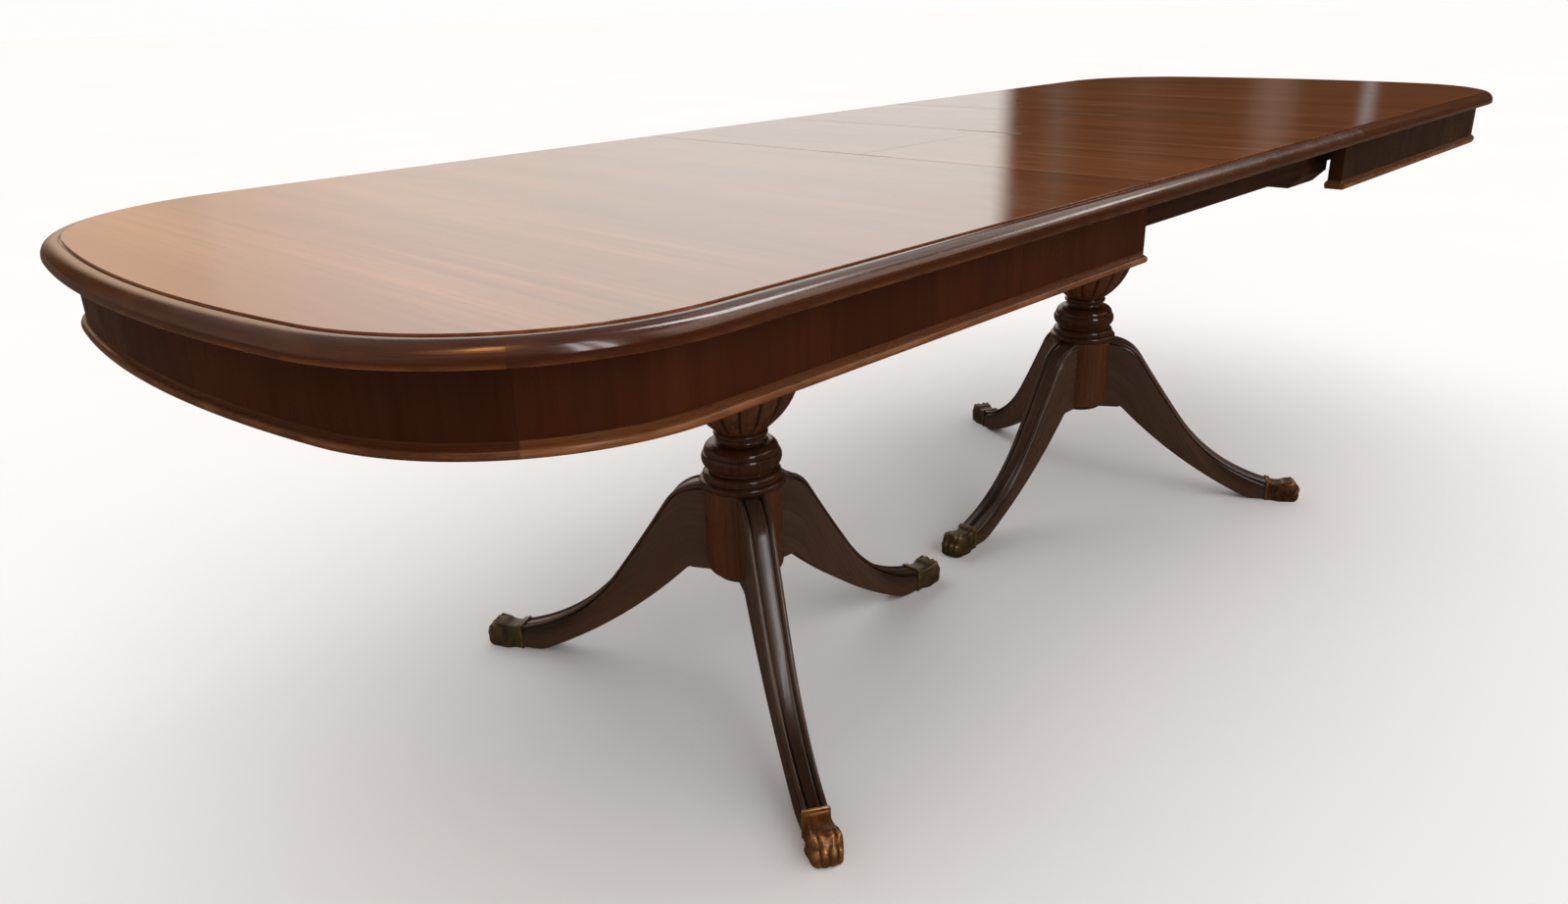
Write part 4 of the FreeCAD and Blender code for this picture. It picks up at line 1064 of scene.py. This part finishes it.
@dataclass
class CastPaw:
    """A cast paw, highest over its knuckles near the front, with toes and a rim round the leg's end."""

    pedestal: str
    name: str
    axis: Vector
    turn: float
    reach: float = 0.384
    toes: int = 4
    rings: int = 64
    steps: int = 96
    sole_start: float = 0.0085
    sole_length: float = 0.0360
    cuff_half: float = 0.0190
    cuff_height: float = 0.0413
    cuff_corner: float = 0.0030
    cuff_profile: tuple[Point, ...] = ((-0.0006, 0.0012), (0.0, 0.0002), (0.0006, 0.0), (0.0032, 0.0),
                                       (0.0040, 0.0010), (0.0048, 0.0012), (0.0086, 0.0014), (0.0098, 0.0030))
    rim_wear: float = 0.7
    cuff_wear: float = 0.05
    neck_half: float = 0.0176
    toe_half: float = 0.0224
    tip_half: float = 0.0204
    groove: float = 0.0020
    knuckle: float = 0.0034
    knuckle_shares: tuple[float, ...] = (0.47, 0.72)
    knuckle_spread: float = 0.056
    instep_grime: float = 0.45

    def profile(self) -> Outline:
        """The paw's upper line from the rim over the knuckles to the floor."""
        line = Outline(self.sole_start, 0.0372).arc(0.0300, 0.0360, 0.04, 12).arc(0.0490, 0.0390, -0.09, 12)
        return line.arc(0.0628, 0.0270, -0.17, 14).arc(0.0665, 0.0110, -0.05, 10).arc(0.0610, 0.0, -0.20, 8)

    def half_width_at(self, share: float) -> float:
        """Half the paw's width along its upper line."""
        wide = self.neck_half + (self.toe_half - self.neck_half) * smooth_step(0.10, 0.50, share)
        return wide + (self.tip_half - self.toe_half) * smooth_step(0.62, 1.0, share)

    def ring(self, share: float, line: Outline) -> tuple[list[Vector], list[float]]:
        """Draws one section of the paw, which fan out from the sole.

        Args:
            share: How far along the upper line it lies.
            line: The paw's upper line.

        Returns:
            The points from one side of the sole over the toes to the other, and their wear.
        """
        crown = line.at(share)
        sole = Vector((self.sole_start + self.sole_length * share, 0.0))
        rise, half = crown - sole, self.half_width_at(share)
        square = 8.0 - 4.0 * smooth_step(0.25, 0.7, share)
        toed = smooth_step(0.30, 0.50, share)
        bumps = sum(math.exp(-((share - place) / self.knuckle_spread) ** 2) for place in self.knuckle_shares)
        instep = self.instep_grime * smooth_step(0.02, 0.16, share) * smooth_step(0.44, 0.30, share)
        points, worn = [], []
        for step in range(self.steps + 1):
            angle = math.pi * step / self.steps
            y = math.copysign(abs(math.cos(angle)) ** (2 / square), math.cos(angle))
            lift = abs(math.sin(angle)) ** (2 / square)
            toe = (y + 1) / 2 * self.toes
            across = 2 * (toe - math.floor(min(toe, self.toes - 1e-6))) - 1
            ridge = (1 - across * across) * toed
            inner = smooth_step(1.02, 0.84, abs(y))
            change = (self.knuckle * bumps * ridge - self.groove * toed * abs(across) ** 3 * inner) * lift
            set_back = 1 - 0.12 * y * y * smooth_step(0.40, 0.85, share)
            height = (rise.length * lift + change) * set_back
            place = sole + rise.normalized() * height
            points.append(self.world(place.x, half * y, max(place.y, 0.0)))
            grime = 0.6 * toed * abs(across) ** 5 * inner + instep * lift
            worn.append(min(bumps * ridge * lift, 1.0) - grime)
        return points, worn

    def world(self, x: float, y: float, z: float) -> Vector:
        """A place on the paw, measured out from the end of the leg, in the table's frame."""
        return self.axis + Matrix.Rotation(self.turn, 3, "Z") @ Vector((self.reach + x, y, z))

    def cuff_ring(self, x: float, inset: float) -> list[Vector]:
        """Draws a rounded square ring of the cuff.

        Args:
            x: How far out from the end of the leg.
            inset: How far inside the cuff's rim.

        Returns:
            The ring's points.
        """
        half, top, corner = self.cuff_half - inset, self.cuff_height - inset, self.cuff_corner
        drawing = Outline(half, 0.0).line(half, top - corner).arc(half - corner, top, 0.2071, 4)
        drawing.line(corner - half, top).arc(-half, top - corner, 0.2071, 4).line(-half, 0.0)
        return [self.world(x, y, z) for y, z in drawing.points]

    def build(self) -> None:
        """Makes the foot and its cuff in place of the plain node."""
        line = self.profile()
        made = [self.ring(index / self.rings, line) for index in range(self.rings + 1)]
        node = f"{self.pedestal}_paw_{self.name}"
        foot = Loft([points for points, _ in made], [worn for _, worn in made], 60.0).build(f"{node}_toes")
        brass = PAW_FINISHES.get(node, PAW_BRASS)
        place_piece(foot, "base", "antique_brass", brass.material(), node)
        rings = [self.cuff_ring(x, inset) for x, inset in self.cuff_profile]
        worn = [self.rim_wear if inset == 0.0 else self.cuff_wear for _, inset in self.cuff_profile]
        wear_and_shade = [[value] * len(rings[0]) for value in worn]
        cuff = Loft(rings, wear_and_shade).build(f"{node}_cuff")
        place_piece(cuff, "base", "antique_brass", brass.material())


@dataclass
class Pedestal:
    """A turned column on three sabre legs with cast paws."""

    name: str

    def build(self) -> None:
        """Makes the column, and then each leg with its paw."""
        column = TurnedColumn(self.name)
        column.build()
        for index, leg in enumerate(LEG_NAMES[self.name]):
            turn = PEDESTAL_TURNS[self.name] + FULL_TURN * index / len(LEG_NAMES[self.name])
            SabreLeg(self.name, leg, column.axis, turn).build()
            CastPaw(self.name, leg, column.axis, turn).build()


@dataclass
class Screws:
    """Slotted countersunk screws seen from below: in the brace plates, the blocks and the bearers."""

    head_radius: float = 0.0046
    head_height: float = 0.0006
    slot_half: float = 0.0006
    slot_depth: float = 0.0004
    sunk: float = 0.0002
    taper: float = 0.96
    steps: int = 14
    plate_reaches: tuple[float, float] = (0.030, 0.072)
    block_reach: Point = (0.070, 0.070)
    bearer_reach: Point = (0.032, 0.382)

    def half_head(self, side: float) -> list[Point]:
        """Draws half a head from below.

        Args:
            side: Which side of the slot, 1 or -1.

        Returns:
            The points of its plan.
        """
        reach = math.sqrt(self.head_radius ** 2 - self.slot_half ** 2)
        bulge = (self.head_radius - self.slot_half) / (2 * reach)
        plan = Outline(-reach, side * self.slot_half)
        return plan.arc(reach, side * self.slot_half, -side * bulge, self.steps).points

    def slabs(self) -> list[tuple[list[Point], float, float]]:
        """Lists what one head is made of: a round plate, and half a head on each side of the slot.

        Returns:
            Each slab's plan, with its upper and lower height.
        """
        turns = [FULL_TURN * step / (2 * self.steps) for step in range(2 * self.steps)]
        plate = [(self.head_radius * math.cos(turn), self.head_radius * math.sin(turn)) for turn in turns]
        floor = self.slot_depth - self.head_height
        halves = [(self.half_head(side), floor, -self.head_height) for side in (1.0, -1.0)]
        return [(plate, self.sunk, floor), *halves]

    def build(self, name: str, body: str, places: Sequence[Vector], turn: float) -> None:
        """Makes one group of screws that face down.

        Args:
            name: The group's name.
            body: The CAD body that it moves with.
            places: The middle of each head, on the face that it is let into.
            turn: How much each slot is turned from the last.
        """
        work = bmesh.new()
        for index, place in enumerate(places):
            spin = Matrix.Rotation(turn * index, 3, "Z")
            for plan, high, low in self.slabs():
                drawn_in = [(x * self.taper, y * self.taper) for x, y in plan]
                top = [work.verts.new(place + spin @ Vector((*spot, high))) for spot in plan]
                base = [work.verts.new(place + spin @ Vector((*spot, low))) for spot in drawn_in]
                work.faces.new(top)
                work.faces.new(base)
                for column in range(len(top)):
                    after = (column + 1) % len(top)
                    work.faces.new((top[column], top[after], base[after], base[column]))
        mesh = bpy.data.meshes.new(name)
        work.to_mesh(mesh)
        work.free()
        place_piece(finish_mesh(name, mesh, 30.0), body, "black_iron", IRON.material())

    @staticmethod
    def corners(reach: Point) -> list[Point]:
        """The four corners of a rectangle round the column's axis."""
        return [(x * reach[0], y * reach[1]) for x in (-1, 1) for y in (-1, 1)]

    def build_all(self) -> None:
        """Sets the screws of both pedestals."""
        for pedestal in HALVES:
            low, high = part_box(f"{pedestal}_column")
            axis = Vector(((low.x + high.x) / 2, 0.0, 0.0))
            turns = [PEDESTAL_TURNS[pedestal] + FULL_TURN * arm / 3 for arm in range(3)]
            arms = [(reach * math.cos(turn), reach * math.sin(turn))
                    for turn in turns for reach in self.plate_reaches]
            groups = (("plate", "spider_plate", arms, 0.9),
                      ("block", "top_block", self.corners(self.block_reach), 0.7),
                      ("bearer", "bearer", self.corners(self.bearer_reach), 1.1))
            for group, node, spots, turn in groups:
                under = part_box(f"{pedestal}_{node}")[0].z
                places = [axis + Vector((x, y, under)) for x, y in spots]
                self.build(f"{pedestal}_{group}_screws", "base", places, turn)


@dataclass
class CarriedNodes:
    """The CAD nodes whose shape is shown as it is, and the finish that each gets."""

    arris: float = 0.0008
    weld: float = 0.00001

    @staticmethod
    def finish_of(node: str) -> Finish:
        """The finish for a node, by the first ending in the list that its name has."""
        return next(finish for ending, finish in NODE_FINISHES.items() if node.endswith(ending))

    def build(self) -> None:
        """Dresses each node that still shows."""
        panels = 0
        for name, node in sorted(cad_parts.items()):
            if node.hide_render:
                continue
            finish = self.finish_of(name)
            if finish is PANEL:
                panels += 1
                finish = self.panel_finish(panels)
                self.soften(node)
            node.data.materials.clear()
            node.data.materials.append(finish.material())
            log.info("%s keeps its CAD shape, in %s", name, finish.name)

    def soften(self, node: bpy.types.Object) -> None:
        """Eases a panel's sharp edges, so that its seams show as fine lines.

        Args:
            node: The panel, whose own mesh stays as it is.
        """
        node.modifiers.new("joined", "WELD").merge_threshold = self.weld
        arris = node.modifiers.new("arris", "BEVEL")
        arris.width, arris.segments, arris.limit_method = self.arris, 2, "ANGLE"
        arris.angle_limit = math.radians(60.0)

    @staticmethod
    def panel_finish(number: int) -> WoodFinish:
        """The panel wood cut from another place in the log, one for each panel."""
        return replace(PANEL, name=f"{PANEL.name}_{number}", seed=2.3 * number)


# Studio and camera

@dataclass(frozen=True)
class Glow:
    """A patch of the studio's walls: its bearing, width and heights in degrees, its colour and strength.

    The strength runs from its foot to its head. Polish mirrors all of it, and matt surfaces get only
    the share in on_matt.
    """

    bearing: float
    half_width: float
    low: float
    high: float
    colour: Colour
    low_strength: float
    high_strength: float
    softness: float = 1.0
    on_matt: float = 0.3
    sill: float = 1.0
    longest_fade: float = 6.0

    @property
    def fade(self) -> float:
        """Degrees over which the upper edge fades, each way."""
        return min(self.longest_fade, (self.high - self.low) / 3)


@dataclass
class Studio:
    """A plain pale floor under soft light from a broad dome, with brighter and darker patches round it.

    Polish mirrors a darker room than the one that lights the table, as it does in the photograph.
    """

    floor_half: float = 60.0
    dome_colour: Colour = (1.0, 1.0, 0.995)
    dome_strength: float = 1.28
    dome_in_polish: float = 0.25
    dome_edge: tuple[float, float] = (0.30, 0.60)
    low_colour: Colour = (0.78, 0.78, 0.78)
    low_in_polish: Colour = (0.074, 0.034, 0.015)
    seen_colour: Colour = (0.985, 0.985, 0.98)
    glows: tuple[Glow, ...] = (
        Glow(160.0, 42.0, -8.0, 50.0, (0.30, 0.26, 0.22), 1.0, 1.0, 26.0, 0.85),
        Glow(51.3, 18.7, -1.0, 30.0, (1.0, 0.955, 0.885), 0.60, 1.75, 0.6),
        Glow(63.0, 10.0, -1.0, 30.0, (1.0, 0.875, 0.770), 0.57, 1.80, 9.0),
        Glow(76.0, 9.0, -1.0, 30.0, (1.0, 0.71, 0.495), 0.52, 1.62, 8.0),
        Glow(30.2, 0.6, -1.0, 14.0, (1.0, 0.66, 0.46), 0.10, 0.11, 0.7),
        Glow(26.4, 0.8, -1.0, 14.0, (1.0, 0.52, 0.32), 0.09, 0.10, 1.2),
        Glow(20.9, 0.8, -1.0, 14.0, (1.0, 0.62, 0.44), 0.15, 0.17, 0.8),
        Glow(17.1, 0.2, -1.0, 14.0, (0.98, 0.95, 0.92), 0.26, 0.30, 0.35),
        Glow(312.0, 24.0, 18.0, 50.0, (1.0, 0.80, 0.67), 1.4, 2.4, 8.0, 0.15),
        Glow(10.0, 22.0, 24.0, 56.0, (1.0, 0.92, 0.85), 0.9, 0.9, 6.0, 0.2),
        Glow(346.0, 9.0, 42.0, 68.0, (1.0, 0.99, 0.98), 9.0, 15.0, 4.0, 0.1),
        Glow(346.0, 7.5, 24.5, 29.0, (1.0, 0.97, 0.90), 5.0, 5.0, 3.0, 0.1),
        Glow(253.5, 2.6, 16.0, 59.0, (0.97, 0.98, 1.0), 9.0, 7.5, 0.8),
        Glow(263.0, 2.6, 16.0, 59.0, (0.97, 0.98, 1.0), 9.0, 7.5, 0.8),
        Glow(203.0, 20.0, 46.0, 76.0, (1.0, 0.42, 0.13), 2.6, 2.6, 10.0, 0.1),
        Glow(205.0, 9.0, 57.0, 71.0, (1.0, 0.42, 0.14), 13.0, 13.0, 4.0, 0.1),
    )

    def build(self) -> None:
        """Makes the floor and the light."""
        self.build_floor()
        self.build_light()

    def build_floor(self) -> None:
        """Lays the floor."""
        mesh = bpy.data.meshes.new("studio_floor")
        half = self.floor_half
        corners = [(-half, -half, 0), (half, -half, 0), (half, half, 0), (-half, half, 0)]
        mesh.from_pydata(corners, [], [(0, 1, 2, 3)])
        floor = bpy.data.objects.new("studio_floor", mesh)
        bpy.context.scene.collection.objects.link(floor)
        mesh.materials.append(FLOOR.material())

    @staticmethod
    def scaled(colour: Colour, strength: float) -> Colour:
        """A colour at a strength."""
        return tuple(part * strength for part in colour)

    def build_light(self) -> None:
        """Paints the light round the table."""
        world = bpy.data.worlds.new("studio_light")
        world.use_nodes = True
        bpy.context.scene.world = world
        board = NodeBoard(world.node_tree)
        way = board.add("ShaderNodeSeparateXYZ")
        board.feed(way, 0, board.add("ShaderNodeTexCoord").outputs["Generated"])
        path = board.add("ShaderNodeLightPath")
        mirrored = path.outputs["Is Glossy Ray"]
        dome = board.blend(mirrored, self.scaled(self.dome_colour, self.dome_strength),
                           self.scaled(self.dome_colour, self.dome_in_polish))
        low = board.blend(mirrored, self.low_colour, self.low_in_polish)
        light = board.blend(board.spread(way.outputs["Z"], *self.dome_edge), low, dome)
        for glow in self.glows:
            light = self.with_glow(board, light, glow, way, mirrored)
        light = board.blend(path.outputs["Is Camera Ray"], light, self.seen_colour)
        background = board.add("ShaderNodeBackground")
        board.feed(background, "Color", light)
        board.feed(board.add("ShaderNodeOutputWorld"), "Surface", background.outputs[0])

    def with_glow(self, board: NodeBoard, light: bpy.types.NodeSocket, glow: Glow, way: bpy.types.Node,
                  mirrored: bpy.types.NodeSocket) -> bpy.types.NodeSocket:
        """Lays one patch over the light.

        Args:
            board: The world's board.
            light: The light so far.
            glow: The patch.
            way: The node that gives the direction's three parts.
            mirrored: 1 where polish looks, 0 elsewhere.

        Returns:
            The light with the patch.
        """
        x, y, z = way.outputs
        east, north = math.cos(math.radians(glow.bearing)), math.sin(math.radians(glow.bearing))
        ahead = board.weighted((x, east), (y, north))
        beside = board.weighted((y, east), (x, -north))
        off = board.maths("ABSOLUTE", board.maths("DEGREES", board.maths("ARCTAN2", beside, ahead)))
        height = board.maths("DEGREES", board.maths("ARCSINE", z))
        within = board.spread(off, glow.half_width + glow.softness, glow.half_width - glow.softness)
        above = board.spread(height, glow.low - glow.sill, glow.low + glow.sill)
        below = board.spread(height, glow.high + glow.fade, glow.high - glow.fade)
        share = board.maths("MULTIPLY", within, board.maths("MULTIPLY", above, below))
        share = board.maths("MULTIPLY", share, board.spread(mirrored, 0.0, 1.0, glow.on_matt, 1.0))
        bright = board.blend(board.spread(height, glow.low, glow.high, smooth=False),
                             self.scaled(glow.colour, glow.low_strength),
                             self.scaled(glow.colour, glow.high_strength))
        return board.blend(share, light, bright)


@dataclass
class PhotoCamera:
    """The camera at the photograph's place and angle, for a frame of 1600 by 922."""

    place: Triple = (-1.6788, -1.1050, 0.9798)
    heading_degrees: float = 46.396
    pitch_degrees: float = -21.630
    roll_degrees: float = 1.488
    lens_mm: float = 26.32
    sensor_mm: float = 36.0

    def build(self) -> None:
        """Sets the camera up."""
        heading, pitch, roll = (math.radians(angle) for angle in
                                (self.heading_degrees, self.pitch_degrees, self.roll_degrees))
        level_share = math.cos(pitch)
        ahead = Vector((level_share * math.sin(heading), level_share * math.cos(heading), math.sin(pitch)))
        level = Vector((math.cos(heading), -math.sin(heading), 0.0))
        up = level.cross(ahead)
        right = level * math.cos(roll) - up * math.sin(roll)
        top = level * math.sin(roll) + up * math.cos(roll)
        data = bpy.data.cameras.new("photo_camera")
        data.lens, data.sensor_width, data.sensor_fit = self.lens_mm, self.sensor_mm, "HORIZONTAL"
        data.clip_end = 400.0
        camera = bpy.data.objects.new("photo_camera", data)
        turned = Matrix((right, top, -ahead)).transposed().to_4x4()
        camera.matrix_world = Matrix.Translation(self.place) @ turned
        bpy.context.scene.collection.objects.link(camera)
        bpy.context.scene.camera = camera


def main() -> None:
    """Builds and dresses the table, then its studio and camera."""
    logging.basicConfig(level=logging.INFO, format="%(message)s")
    edges = [TopEdge(half) for half in HALVES]
    for edge in edges:
        edge.build()
    for leaf in ("near_leaf", "far_leaf"):
        LeafEdge(leaf, edges[0]).build()
    for pedestal in HALVES:
        Pedestal(pedestal).build()
    Screws().build_all()
    CarriedNodes().build()
    Studio().build()
    PhotoCamera().build()
    bpy.context.scene.view_settings.view_transform = "Standard"


if __name__ == "__main__":
    main()
